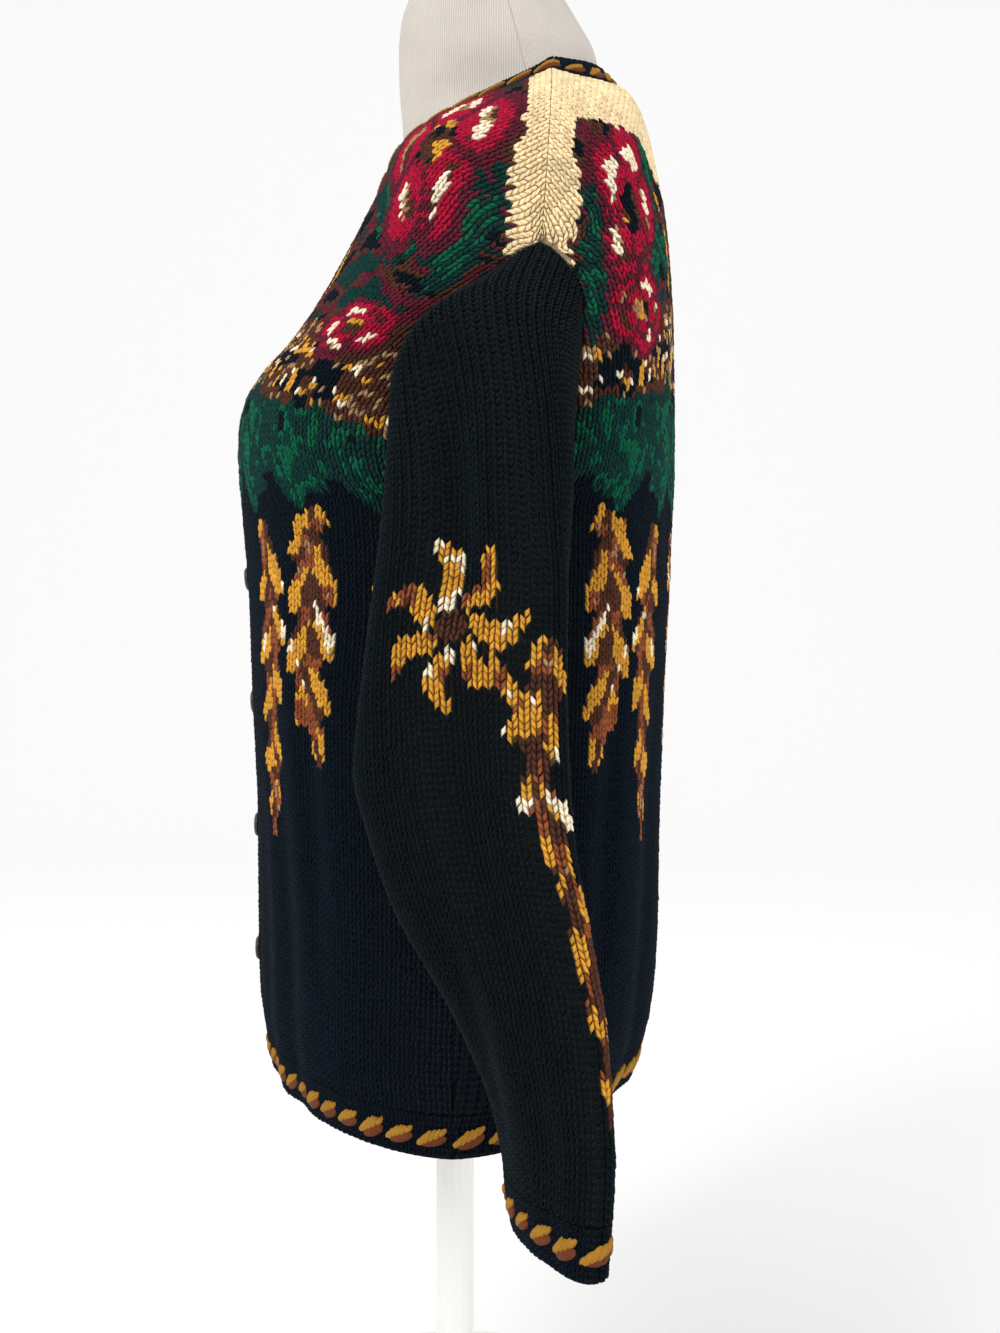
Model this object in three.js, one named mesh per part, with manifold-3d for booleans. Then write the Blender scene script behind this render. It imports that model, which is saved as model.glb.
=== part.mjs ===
// A V-neck cardigan of thick knitting, buttoned up, worn by a limbless linen dress form on a pole and
// a round base. Millimetres, +Z up. The figure faces -Y and its left side is +X. The origin is the
// middle of the base's underside.
//
// Each knitted piece is a wall: a grid of points on its outer face, and the same grid moved in by the
// cloth's thickness. The points come from sections across the garment, joined by smooth curves that
// run up the cloth from the hem.

import * as THREE from "three";
import Module from "manifold-3d";

// ---- Driving dimensions ----

const HEM_HEIGHT = 268; // the hem's lower edge above the floor
const CLOTH = 3.5; // thickness of the knitting
const SEAM_GAP = 0.3; // between pieces that are sewn together
const REST_GAP = 0.45; // between the cloth and what carries it
const SEAM_ROOM = 1.2; // the same where the cloth bends sharply, at the neck and the shoulder seams
const JOIN_GAP = 0.5; // between edges that curve, such as the neck's and the armholes'
const BAND_HEIGHT = 22; // the roped border at the hem
const CUFF_HEIGHT = 24;
const NECKBAND_WIDTH = 24;
const NECKBAND_LIFT = 0.7; // how far the neckband turns up behind the neck, as a slope
const BUTTON_BAND = 30; // width of each button band
const BUTTON_BAND_OVERLAP = 8; // how far the upper band lies on its own front
const BUTTON = { count: 5, radius: 8, thickness: 3.2, lowest: 62, highest: 390 };
const V_POINT = 408; // where the V starts, measured up the front from the hem
const UNDERARM = 345; // where the side seams end, measured up the cloth
const NECK_SHARE = 0.335; // the neck's share of a half panel's width at the shoulder
const BACK_NECK_DROP = 52; // how far the back neck is scooped below the shoulder line
const POLE_RADIUS = 12.5;
const BASE = { radius: 150, thickness: 12, bevel: 3 };
const FORM_BOTTOM = 305;

// How finely each piece is divided.
const PANEL_COLUMNS = 12; // across a half panel
const SIDE_ROWS = 8; // from the hem band to the underarm
const YOKE_ROWS = 10; // from the underarm to the shoulder
const SLEEVE_COLUMNS = 28;
const SLEEVE_ROWS = 15;
const FORM_COLUMNS = 32;

// ---- Sections ----

/** Turns rows of numbers into objects with named columns. */
const table = (names, rows) =>
  rows.map((row) => Object.fromEntries(names.map((name, i) => [name, row[i]])));

// The body's sections. along: up the cloth from the hem at the centre. y, up: the centre point, with
// up measured from the hem. edgeX, edgeY, edgeUp: the side seam, then the armhole's edge, then the
// shoulder's tip. square: how boxy the section is. droop: how fast it falls away to the side.
const SECTION = ["along", "y", "up", "edgeX", "edgeY", "edgeUp", "square", "droop"];
const BACK = table(SECTION, [
  [0, 119, 0, 225, 5, -3, 1.8, 1.2],
  [44, 130, 43, 223, 5, 41, 1.9, 1.2],
  [97, 133, 96, 220, 6, 93, 2, 1.2],
  [164, 133.5, 163, 216, 8, 159, 2.1, 1.2],
  [231, 135, 230, 211, 13, 224, 2.2, 1.2],
  [297, 138.5, 296, 206, 20, 286, 2.2, 1.2],
  [345, 140.5, 344, 205, 20, 332, 2.2, 1.2],
  [375, 141.5, 374, 205, 46, 356, 2.2, 1.2],
  [415, 141, 414, 203, 63, 392, 2.2, 1.3],
  [455, 140, 454, 197, 73, 427, 2.2, 1.4],
  [495, 138, 494, 190, 74, 454, 2.25, 1.5],
  [535, 135, 533, 184, 67, 472, 2.3, 1.55],
  [575, 128.5, 573, 181, 60, 480, 2.25, 1.6],
  [603, 122, 599, 180.5, 57, 482.5, 2.3, 1.6],
  [634, 108, 623, 180, 54, 484, 2.35, 1.75],
  [681, 62, 627.5, 180, 52, 484.5, 2.5, 1],
]);
const FRONT = table(SECTION, [
  [0, -118, 3, 225, 5, -3, 1.8, 1.2],
  [44, -124, 47, 223, 5, 41, 1.85, 1.2],
  [97, -125, 100, 220, 6, 93, 1.9, 1.2],
  [164, -125.5, 167, 216, 8, 159, 2.05, 1.2],
  [231, -128, 234, 211, 13, 224, 2.2, 1.2],
  [297, -131, 300, 206, 20, 286, 2.2, 1.2],
  [345, -135, 347, 205, 20, 332, 2.2, 1.2],
  [375, -136.5, 377, 206, -6, 347, 2.2, 1.2],
  [396, -136, 398, 206, -20, 364, 2.2, 1.2],
  [415, -131.5, 416, 205.5, -26, 381, 2.2, 1.2],
  [434, -121, 432, 204.5, -25, 398, 2.2, 1.2],
  [458, -105, 449, 202.5, -18, 418, 2.2, 1.3],
  [498, -84, 481, 199, -2, 438, 2.2, 1.35],
  [533, -68, 512, 194, 14, 453, 2.2, 1.35],
  [570, -52, 545, 188, 30, 469, 2.2, 1.3],
  [615, -31, 585, 183, 43, 480, 2.3, 1.1],
  [718, 62, 627.5, 180, 52, 484.5, 2.5, 1],
]);

// The left sleeve's sections below the armhole. frontX, frontY and backX, backY are the two edges of
// the flattened tube. half: half its thickness. lean: how much higher its outer side is. ridge: where
// the line from the shoulder's tip runs, in degrees from the outer side towards the back edge.
const SLEEVE = table(
  ["up", "frontX", "frontY", "backX", "backY", "half", "lean", "ridge"],
  [
    [387, 215, -27, 223, 68, 7, 112, 25],
    [352, 221, -28, 244, 66, 17, 70, 40],
    [317, 226, -30, 257, 65, 21, 35, 48],
    [284, 230, -34, 262, 65, 22, 14, 52],
    [235, 233, -40, 267, 65, 22, 4, 52],
    [199, 234, -43, 272, 66, 22, 0, 53],
    [169, 235, -36, 277, 67, 21, 0, 57],
    [133, 237, -23, 287, 71, 20, 0, 66],
    [78, 240, 9, 308, 77, 17.5, 0, 82],
    [29, 243, 31, 326, 77, 16, 0, 91],
    [-21, 247, 42, 338, 72, 14.5, 0, 95],
  ],
);
const SLEEVE_SQUARE = 2.15;

// The dress form's sections, from its underside to the top of its neck.
const FORM = table(
  ["z", "halfX", "front", "back", "square"],
  [
    [305, 148, -88, 98, 2.1],
    [400, 150, -90, 104, 2.1],
    [480, 138, -88, 102, 2.15],
    [560, 147, -102, 110, 2.15],
    [640, 158, -126, 126, 2.2],
    [690, 164, -118, 132, 2.3],
    [740, 163, -88, 134, 2.4],
    [785, 162, -66, 132, 2.4],
    [820, 158, -46, 130, 2.4],
    [845, 145, -36, 127, 2.3],
    [866, 115, -34, 120, 2.2],
    [880, 80, -35, 112, 2],
    [889, 62, -36, 108, 2],
    [903, 58, -37, 102, 2],
    [923, 57, -37.5, 95, 2],
    [944, 54, -36, 83, 2],
    [966, 51, -29, 70, 2],
    [984, 46, -24, 61, 2],
    [992, 36, -15, 50, 2],
  ],
);

// ---- Smooth curves and sections ----

const RIGHT_ANGLE = Math.PI / 2;
const V = (x, y, z) => new THREE.Vector3(x, y, z);
const lerp = THREE.MathUtils.lerp;

/** A smooth curve through values at knots, as a function. It never overshoots the values. */
function smooth(knots, values) {
  const last = values.length - 1;
  const step = values.slice(1).map((v, i) => (v - values[i]) / (knots[i + 1] - knots[i]));
  const slope = values.map((_, i) => {
    if (i === 0 || i === last) return step[i === 0 ? 0 : last - 1];
    const [before, after] = [step[i - 1], step[i]];
    return before * after <= 0 ? 0 : (2 * before * after) / (before + after);
  });
  return (x) => {
    const i = THREE.MathUtils.clamp(knots.findLastIndex((knot) => knot <= x), 0, last - 1);
    const width = knots[i + 1] - knots[i];
    const t = (x - knots[i]) / width;
    const [t2, t3] = [t * t, t * t * t];
    return (
      (2 * t3 - 3 * t2 + 1) * values[i] +
      (t3 - 2 * t2 + t) * width * slope[i] +
      (3 * t2 - 2 * t3) * values[i + 1] +
      (t3 - t2) * width * slope[i + 1]
    );
  };
}

/** A smooth line through points at knots, as a function. */
function smoothLine(knots, points) {
  const axes = ["x", "y", "z"].map((axis) => smooth(knots, points.map((p) => p[axis])));
  return (x) => V(...axes.map((along) => along(x)));
}

/** The point at a share of the length of a line of points. */
function atShare(points, share) {
  const lengths = [0];
  for (let i = 1; i < points.length; i++) {
    lengths.push(lengths[i - 1] + points[i].distanceTo(points[i - 1]));
  }
  const want = share * lengths.at(-1);
  let i = 1;
  while (i < points.length - 1 && lengths[i] < want) i++;
  const t = (want - lengths[i - 1]) / (lengths[i] - lengths[i - 1]);
  return points[i - 1].clone().lerp(points[i], t);
}

const power = (value, exponent) => Math.sign(value) * Math.abs(value) ** exponent;

/** Half a body section as a fine line of points, from its centre to its left edge. */
function halfSection(row) {
  const steps = 48;
  return Array.from({ length: steps + 1 }, (_, i) => {
    const turn = (RIGHT_ANGLE * i) / steps;
    const across = power(Math.sin(turn), 2 / row.square);
    const out = power(Math.cos(turn), 2 / row.square);
    const rise = power(Math.cos(turn), row.droop);
    return V(
      row.edgeX * across,
      lerp(row.edgeY, row.y, out),
      HEM_HEIGHT + lerp(row.edgeUp, row.up, rise),
    );
  });
}

/** The outer face of a body panel: share runs from -1 at the right edge to 1 at the left one. */
function bodyFace(rows) {
  const sections = rows.map(halfSection);
  const knots = rows.map((row) => row.along);
  const columns = new Map();
  return (share, along) => {
    const across = Math.min(Math.abs(share), 1);
    if (!columns.has(across)) {
      columns.set(across, smoothLine(knots, sections.map((line) => atShare(line, across))));
    }
    const point = columns.get(across)(along);
    if (share < 0) point.x *= -1;
    return point;
  };
}

const backFace = bodyFace(BACK);
const frontFace = bodyFace(FRONT);
const BACK_TOP = BACK.at(-1).along;
const FRONT_TOP = FRONT.at(-1).along;

/** The share that a distance from the centre takes up at the front's hem. */
const HALF_FRONT = new THREE.CatmullRomCurve3(halfSection(FRONT[0])).getLength();
const shareOf = (distance) => distance / HALF_FRONT;

// ---- Walls ----

/** A spot on a face: its point and the direction out of the cloth there. */
function spot(face, share, along) {
  const small = 1e-3;
  const across = face(share + small, along).sub(face(share - small, along));
  const up = face(share, along + 0.5).sub(face(share, along - 0.5));
  const normal = across.cross(up).normalize();
  return { point: face(share, along), normal: face === backFace ? normal.negate() : normal };
}

/** The points of a grid of spots, moved out by a distance, or in by a negative one. */
const moved = (grid, distance) =>
  grid.map((line) =>
    line.map(({ point, normal }) => point.clone().addScaledVector(normal, distance)),
  );

/** A closed wall between a grid of spots moved out by one distance, and by a smaller one. */
function wall(grid, outer, inner, wraps = false) {
  const rows = grid.length;
  const columns = grid[0].length;
  const spots = grid.flat();
  const points = [...moved(grid, outer).flat(), ...moved(grid, inner).flat()];
  const positions = points.flatMap((p) => [p.x, p.y, p.z]);
  const index = [];
  const at = (i, j, side) => side * rows * columns + i * columns + (j % columns);
  const quad = (a, b, c, d) => index.push(a, b, c, a, c, d);
  const between = (a, b) => spots[a % spots.length].point.distanceTo(spots[b % spots.length].point);
  // Each face of the wall is cut along its quads' shorter diagonals, the same on both sides.
  const face = (i, j, side) => {
    const [a, b, c, d] = [at(i, j, side), at(i, j + 1, side), at(i + 1, j + 1, side), at(i + 1, j, side)];
    const cut = between(a, c) <= between(b, d) ? [a, b, c, a, c, d] : [a, b, d, b, c, d];
    index.push(...(side === 0 ? cut : cut.reverse()));
  };
  const last = wraps ? columns : columns - 1;
  for (let i = 0; i < rows - 1; i++) {
    for (let j = 0; j < last; j++) {
      face(i, j, 0);
      face(i, j, 1);
    }
  }
  for (let j = 0; j < last; j++) {
    quad(at(0, j, 1), at(0, j + 1, 1), at(0, j + 1, 0), at(0, j, 0));
    quad(at(rows - 1, j, 0), at(rows - 1, j + 1, 0), at(rows - 1, j + 1, 1), at(rows - 1, j, 1));
  }
  if (!wraps) {
    for (let i = 0; i < rows - 1; i++) {
      quad(at(i, 0, 0), at(i + 1, 0, 0), at(i + 1, 0, 1), at(i, 0, 1));
      quad(at(i, last, 1), at(i + 1, last, 1), at(i + 1, last, 0), at(i, last, 0));
    }
  }
  const geometry = new THREE.BufferGeometry();
  geometry.setAttribute("position", new THREE.Float32BufferAttribute(positions, 3));
  geometry.setIndex(index);
  return geometry;
}

/** Even steps from one value to another, both included. */
const steps = (from, to, count) =>
  Array.from({ length: count + 1 }, (_, i) => lerp(from, to, i / count));

// ---- Body panels ----

/** Heights of rows that lie closer together towards the shoulder, where the cloth bends over. */
const yokeRows = (from, to, count) =>
  steps(1, 0, count).slice(1).map((left) => lerp(to, from, left ** 1.3));

/** Heights of a panel's rows: from its lower edge to the underarm, then on to its top. */
const panelRows = (top) => [
  ...steps(BAND_HEIGHT + SEAM_GAP, UNDERARM, SIDE_ROWS),
  ...yokeRows(UNDERARM, top, YOKE_ROWS),
];

/** A spot on a side or shoulder seam: half a gap from the seam, with its edge square to it. */
function atSeam(place, side) {
  place.point.y += (side * SEAM_GAP) / 2;
  place.normal.setY(0).normalize();
  return place;
}

/** The back's upper edge, scooped out behind the neck. */
function backTop(share) {
  const inNeck = Math.abs(share) / NECK_SHARE;
  if (inNeck >= 1) return BACK_TOP;
  return BACK_TOP - BACK_NECK_DROP * Math.sqrt(1 - inNeck ** 2);
}

/** Shares across the back, with a column on each side of the neck. */
const NECK_COLUMNS = 5;
const halfBackShares = [
  ...steps(0, NECK_SHARE, NECK_COLUMNS).map((s, i, all) =>
    i < all.length - 1 ? NECK_SHARE * Math.sin((RIGHT_ANGLE * i) / NECK_COLUMNS) : s,
  ),
  ...steps(NECK_SHARE, 1, PANEL_COLUMNS - NECK_COLUMNS).slice(1),
];
const backShares = [...halfBackShares.slice(1).map((s) => -s).reverse(), ...halfBackShares];

/** A piece of the back. Its columns run from the figure's left to its right. */
const backGrid = (rowsAt) =>
  rowsAt.map((rowAt) =>
    backShares.toReversed().map((share) => {
      const place = spot(backFace, share, rowAt(share));
      const onSeam = Math.abs(share) === 1 || rowAt(share) === BACK_TOP;
      return onSeam ? atSeam(place, 1) : place;
    }),
  );

/** Row heights under the scooped neck: rows above the underarm are squeezed below the scoop. */
const backRowsAt = panelRows(BACK_TOP).map((along) => (share) => {
  if (along <= UNDERARM) return along;
  return lerp(UNDERARM, backTop(share), (along - UNDERARM) / (BACK_TOP - UNDERARM));
});

/** The share of the front's inner edge: the button band's, and above it the V. */
const FRONT_EDGE = shareOf(BUTTON_BAND / 2 + SEAM_GAP);
function frontEdge(along) {
  const rise = (along - V_POINT) / (FRONT_TOP - V_POINT);
  return rise <= 0 ? FRONT_EDGE : lerp(FRONT_EDGE, NECK_SHARE, rise ** 0.9);
}

/** Heights of the fronts' rows, with one at the V's point. */
const frontRows = [
  ...steps(BAND_HEIGHT + SEAM_GAP, UNDERARM, SIDE_ROWS),
  ...steps(UNDERARM, V_POINT, 2).slice(1),
  ...yokeRows(V_POINT, FRONT_TOP, YOKE_ROWS - 2),
];

/** A piece of a front between heights, side 1 being the left one. Columns run towards +X. */
function frontGrid(rows, side) {
  return rows.map((along) => {
    const shares = steps(frontEdge(along), 1, PANEL_COLUMNS);
    if (side < 0) shares.reverse();
    return shares.map((share) => {
      const place = spot(frontFace, side * share, along);
      return share === 1 || along === FRONT_TOP ? atSeam(place, -1) : place;
    });
  });
}

/** A knitted piece: a wall of the cloth's thickness under a grid of spots on its face. */
const cloth = (grid, wraps = false) => wall(grid, 0, -CLOTH, wraps);

const hemRows = steps(0, BAND_HEIGHT, 2);

// ---- Button bands and buttons ----

/** A strip down the centre front between two shares, standing out from the fronts' face. */
function frontStrip(fromShare, toShare, out) {
  const rows = steps(0, V_POINT - SEAM_GAP, 20);
  const grid = rows.map((along) =>
    steps(fromShare, toShare, 4).map((share) => spot(frontFace, share, along)),
  );
  return wall(grid, out, out - CLOTH);
}

const UPPER_BAND_OUT = CLOTH + REST_GAP;

/** A round button with a domed face, lying on the upper band at a height up the front. */
function button(along) {
  const { radius, thickness } = BUTTON;
  const profile = [
    new THREE.Vector2(0, 0),
    new THREE.Vector2(radius * 0.9, 0),
    new THREE.Vector2(radius, thickness * 0.35),
    new THREE.Vector2(radius * 0.86, thickness * 0.8),
    new THREE.Vector2(radius * 0.5, thickness),
    new THREE.Vector2(0, thickness),
  ];
  const geometry = new THREE.LatheGeometry(profile, 16);
  const { point, normal } = spot(frontFace, 0, along);
  const turn = new THREE.Quaternion().setFromUnitVectors(V(0, 1, 0), normal);
  const bow = 0.1; // room for the band's bow across a button's width
  const seat = point.addScaledVector(normal, UPPER_BAND_OUT + REST_GAP + bow);
  geometry.applyQuaternion(turn);
  geometry.translate(seat.x, seat.y, seat.z);
  return geometry;
}

// ---- Neckband ----

/** The neck's edge from the V's point up the left front, round the back and down the right front. */
function neckEdge() {
  const left = frontRows.slice(frontRows.indexOf(V_POINT), -1).map((along) => {
    return { face: frontFace, share: frontEdge(along), along };
  });
  const back = steps(RIGHT_ANGLE, -RIGHT_ANGLE, 2 * NECK_COLUMNS).map((turn) => {
    const share = NECK_SHARE * Math.sin(turn);
    return { face: backFace, share, along: backTop(share), behind: Math.cos(turn) };
  });
  const right = left.toReversed().map((place) => ({ ...place, share: -place.share }));
  return [...left, ...back, ...right];
}

const NECKBAND_LINES = [NECKBAND_WIDTH, NECKBAND_WIDTH / 2, JOIN_GAP];

/** A strip inside the neck's edge, at distances from it. It turns up behind the neck. */
function neckStrip(distances) {
  const places = neckEdge();
  const edge = places.map(({ face, share, along }) => spot(face, share, along));
  const last = edge.length - 1;
  return places.map(({ share, behind = 0 }, i) => {
    const { point, normal } = edge[i];
    const away = edge[Math.min(i + 1, last)].point.clone().sub(edge[Math.max(i - 1, 0)].point);
    const inwards = normal.clone().cross(away).normalize();
    inwards.z += NECKBAND_LIFT * behind;
    inwards.normalize();
    const turnedUp = away.cross(inwards).normalize();
    const side = Math.sign(share) || 1;
    return distances.map((distance) => {
      const place = point.clone().addScaledVector(inwards, distance);
      if (behind === 0) place.x = side * Math.max(place.x * side, SEAM_GAP);
      return { point: place, normal: distance > JOIN_GAP ? turnedUp : normal };
    });
  });
}

// ---- Sleeves ----

/** One section of the sleeve as a fine closed line, from its ridge round by the front. */
function sleeveSection(row) {
  const front = V(row.frontX, row.frontY, 0);
  const back = V(row.backX, row.backY, 0);
  const middle = front.clone().add(back).multiplyScalar(0.5).setZ(HEM_HEIGHT + row.up);
  const long = back.clone().sub(front).multiplyScalar(0.5);
  const out = V(long.y, -long.x, 0).setLength(row.half).setZ(row.lean / 2);
  const count = 96;
  return Array.from({ length: count + 1 }, (_, i) => {
    const turn = THREE.MathUtils.degToRad(row.ridge) - (2 * Math.PI * i) / count;
    return middle
      .clone()
      .addScaledVector(long, power(Math.sin(turn), 2 / SLEEVE_SQUARE))
      .addScaledVector(out, power(Math.cos(turn), 2 / SLEEVE_SQUARE));
  });
}

/** The armhole's edge as a closed line, from the shoulder's tip down the front and up the back. */
function armholeLine() {
  const count = 40;
  const front = steps(FRONT_TOP, UNDERARM, count).map((along) => frontFace(1, along));
  const back = steps(UNDERARM, BACK_TOP, count).map((along) => backFace(1, along));
  return [...front, ...back.slice(1)];
}

/** The sleeve's outer face: a share of the way round from its ridge, and 0 to 1 from top to cuff. */
const sleeveLines = [armholeLine(), ...SLEEVE.map(sleeveSection)];
const sleeveKnots = sleeveLines.reduce((knots, line, i) => {
  if (i === 0) return [0];
  const spots = [0, 0.25, 0.5, 0.75];
  const gaps = spots.map((s) => atShare(line, s).distanceTo(atShare(sleeveLines[i - 1], s)));
  return [...knots, knots.at(-1) + gaps.reduce((a, b) => a + b) / spots.length];
}, []);
const SLEEVE_LENGTH = sleeveKnots.at(-1);
const sleeveColumns = new Map();
function sleeveFace(share, down) {
  const around = (share + 1) % 1;
  if (!sleeveColumns.has(around)) {
    const points = sleeveLines.map((line) => atShare(line, around));
    sleeveColumns.set(around, smoothLine(sleeveKnots, points));
  }
  return sleeveColumns.get(around)(down);
}

const CUFF_SHARE = CUFF_HEIGHT / (SLEEVE[9].up - SLEEVE[10].up);
const CUFF_START = lerp(SLEEVE_LENGTH, sleeveKnots.at(-2), CUFF_SHARE);
const ARMHOLE_GAP = 1.1;

/** A stretch of the left sleeve, or of the right one where side is -1. */
function sleevePiece(downs, side) {
  const grid = downs.map((down) =>
    steps(0, 1, SLEEVE_COLUMNS).slice(0, -1).map((share) => {
      const place = spot(sleeveFace, share, Math.max(down, 0.5));
      if (down === 0) {
        const along = sleeveFace(share, 1).sub(sleeveFace(share, 0));
        place.point = sleeveFace(share, 0).add(along.setLength(ARMHOLE_GAP));
      }
      place.point.x *= side;
      place.normal.x *= side;
      return place;
    }),
  );
  if (side < 0) grid.forEach((line) => line.reverse());
  return cloth(grid, true);
}

const sleeveRows = steps(0, 1, SLEEVE_ROWS).map((t) =>
  lerp(0, CUFF_START - JOIN_GAP, t ** 1.1),
);
const cuffRows = steps(CUFF_START, SLEEVE_LENGTH, 2);

// ---- Dress form ----

/** The form's body and neck as one closed shape, before the cloth's room is taken out of it. */
function formBlank() {
  const knots = FORM.map((row) => row.z);
  const columns = ["halfX", "front", "back", "square"].map((name) =>
    smooth(knots, FORM.map((row) => row[name])),
  );
  const heights = [...steps(FORM_BOTTOM, 700, 7), ...steps(700, 900, 10).slice(1)];
  heights.push(912, 923, 944, 966, 979, 987, 992);
  const rings = heights.map((z) => {
    const [halfX, front, back, square] = columns.map((column) => column(z));
    return steps(0, 2 * Math.PI, FORM_COLUMNS).slice(0, -1).map((turn) => V(
      halfX * power(Math.cos(turn), 2 / square),
      lerp(front, back, 0.5 + power(Math.sin(turn), 2 / square) / 2),
      z,
    ));
  });
  return closedRings(rings);
}

/** A solid through rings that run anticlockwise seen from above, with flat ends. */
function closedRings(rings) {
  const columns = rings[0].length;
  const centreOf = (ring) =>
    ring.reduce((sum, p) => sum.add(p), V(0, 0, 0)).multiplyScalar(1 / columns);
  const points = [...rings.flat(), centreOf(rings[0]), centreOf(rings.at(-1))];
  const low = points.length - 2;
  const high = points.length - 1;
  const topRow = (rings.length - 1) * columns;
  const index = [];
  for (let j = 0; j < columns; j++) {
    const next = (j + 1) % columns;
    for (let i = 0; i < rings.length - 1; i++) {
      const [a, b] = [i * columns + j, i * columns + next];
      index.push(a, b, b + columns, a, b + columns, a + columns);
    }
    index.push(low, next, j, high, topRow + j, topRow + next);
  }
  const geometry = new THREE.BufferGeometry();
  const positions = points.flatMap((p) => [p.x, p.y, p.z]);
  geometry.setAttribute("position", new THREE.Float32BufferAttribute(positions, 3));
  geometry.setIndex(index);
  return geometry;
}

/** A wall that fills the cloth's place, a gap inside it, and all the space outside it. */
const clothRoom = (grid, gap) => toSolid(wall(grid, 30, -CLOTH - gap));

const wasm = await Module();
wasm.setup();

function toSolid(geometry) {
  return new wasm.Manifold(
    new wasm.Mesh({
      numProp: 3,
      vertProperties: new Float32Array(geometry.attributes.position.array),
      triVerts: new Uint32Array(geometry.index.array),
    }),
  );
}

function toGeometry(solid) {
  const mesh = solid.getMesh();
  const geometry = new THREE.BufferGeometry();
  geometry.setAttribute("position", new THREE.BufferAttribute(mesh.vertProperties, 3));
  geometry.setIndex(new THREE.BufferAttribute(mesh.triVerts, 1));
  return geometry;
}

/** The form, cut back where the cloth lies on it, so that the cloth hangs from its shoulders. */
function form() {
  const fronts = [1, -1].map((side) => frontGrid(frontRows.slice(SIDE_ROWS), side));
  const shoulderSeams = fronts.map((front) =>
    [-1, 1].map((way) =>
      front.at(-1).map(({ point, normal }) => ({ point: point.clone().add(V(0, way, 0)), normal })),
    ),
  );
  const [free, middle, sewn] = NECKBAND_LINES;
  const neck = [neckStrip([free + 2, middle, sewn]), neckStrip([2.5, -2.5])];
  const rooms = [
    ...[backGrid(backRowsAt.slice(SIDE_ROWS)), ...fronts].map((grid) => clothRoom(grid, REST_GAP)),
    ...[...shoulderSeams, ...neck].map((grid) => clothRoom(grid, SEAM_ROOM)),
  ];
  const solid = rooms.reduce((left, room) => left.subtract(room), toSolid(formBlank()));
  const bodies = solid.decompose().sort((a, b) => b.volume() - a.volume());
  return toGeometry(bodies[0]);
}

/** A round solid about the form's axis, from profile points of radius and height. */
const turned = (points, sides) => {
  const geometry = new THREE.LatheGeometry(points.map(([r, z]) => new THREE.Vector2(r, z)), sides);
  return geometry.rotateX(RIGHT_ANGLE);
};

const pole = () => {
  const [low, high] = [BASE.thickness + SEAM_GAP, FORM_BOTTOM - SEAM_GAP];
  return turned([[0, low], [POLE_RADIUS, low], [POLE_RADIUS, high], [0, high]], 16);
};

const base = () => {
  const { radius, thickness, bevel } = BASE;
  const rim = [[radius, 0], [radius, thickness - bevel], [radius - bevel, thickness]];
  return turned([[0, 0], ...rim, [0, thickness]], 48);
};

// ---- Assembly ----

const finish = (color, roughness, metalness = 0) =>
  new THREE.MeshStandardMaterial({ color, roughness, metalness, side: THREE.FrontSide });
const knit = finish(0x14161c, 0.9);
const rope = finish(0x7a5426, 0.9);
const linen = finish(0xc9c3b4, 0.95);
const buttonPlastic = finish(0x1b1817, 0.4);
const steel = finish(0x9a9a9a, 0.4, 0.9);

const cardigan = new THREE.Group();
function add(name, geometry, material) {
  const mesh = new THREE.Mesh(geometry, material);
  mesh.name = name;
  cardigan.add(mesh);
}

add("back_panel", cloth(backGrid(backRowsAt)), knit);
add("hem_back", cloth(backGrid(hemRows.map((along) => () => along))), rope);
for (const [name, side] of [["left", 1], ["right", -1]]) {
  add(`front_${name}`, cloth(frontGrid(frontRows, side)), knit);
  add(`hem_front_${name}`, cloth(frontGrid(hemRows, side)), rope);
  add(`sleeve_${name}`, sleevePiece(sleeveRows, side), knit);
  add(`cuff_${name}`, sleevePiece(cuffRows, side), rope);
}
const half = shareOf(BUTTON_BAND / 2);
add("front_band_left", frontStrip(-half, half, 0), knit);
const lap = half + shareOf(BUTTON_BAND_OVERLAP);
add("front_band_right", frontStrip(-lap, half, UPPER_BAND_OUT), knit);
const buttonPlaces = steps(BUTTON.lowest, BUTTON.highest, BUTTON.count - 1);
buttonPlaces.forEach((along, i) => add(`button_${i + 1}`, button(along), buttonPlastic));
add("neckband", cloth(neckStrip(NECKBAND_LINES)), rope);
add("form", form(), linen);
add("pole", pole(), steel);
add("base", base(), steel);

export default cardigan;
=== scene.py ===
# A V-neck cardigan of thick hand-knit wool, buttoned up and worn by a limbless linen dress form on a
# slim white stand. It faces -Y, +Z is up, and its left side is +X. The meshes are in metres, and the
# garment's own tables are in millimetres, measured on the cloth.

import math

import bmesh
import bpy
import numpy as np
from mathutils import Matrix, Vector
from mathutils.kdtree import KDTree


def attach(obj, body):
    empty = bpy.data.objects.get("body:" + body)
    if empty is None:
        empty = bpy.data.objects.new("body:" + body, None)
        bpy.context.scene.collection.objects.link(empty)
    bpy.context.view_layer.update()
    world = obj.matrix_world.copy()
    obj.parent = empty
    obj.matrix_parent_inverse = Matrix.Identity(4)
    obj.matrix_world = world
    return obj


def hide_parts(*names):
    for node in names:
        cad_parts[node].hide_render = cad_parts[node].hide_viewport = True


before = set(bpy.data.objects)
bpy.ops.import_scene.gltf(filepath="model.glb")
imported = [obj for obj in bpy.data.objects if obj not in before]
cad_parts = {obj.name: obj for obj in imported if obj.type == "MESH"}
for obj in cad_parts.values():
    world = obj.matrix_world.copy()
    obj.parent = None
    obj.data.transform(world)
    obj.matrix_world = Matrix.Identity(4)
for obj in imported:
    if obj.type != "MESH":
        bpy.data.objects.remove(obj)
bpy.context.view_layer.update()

# ---- Camera, floor and light ----
# The stand is looked at level from the wearer's left, a metre from its middle. It stands on a white
# floor that sweeps up into a white wall, under an even white sky and two large soft lamps.

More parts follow.
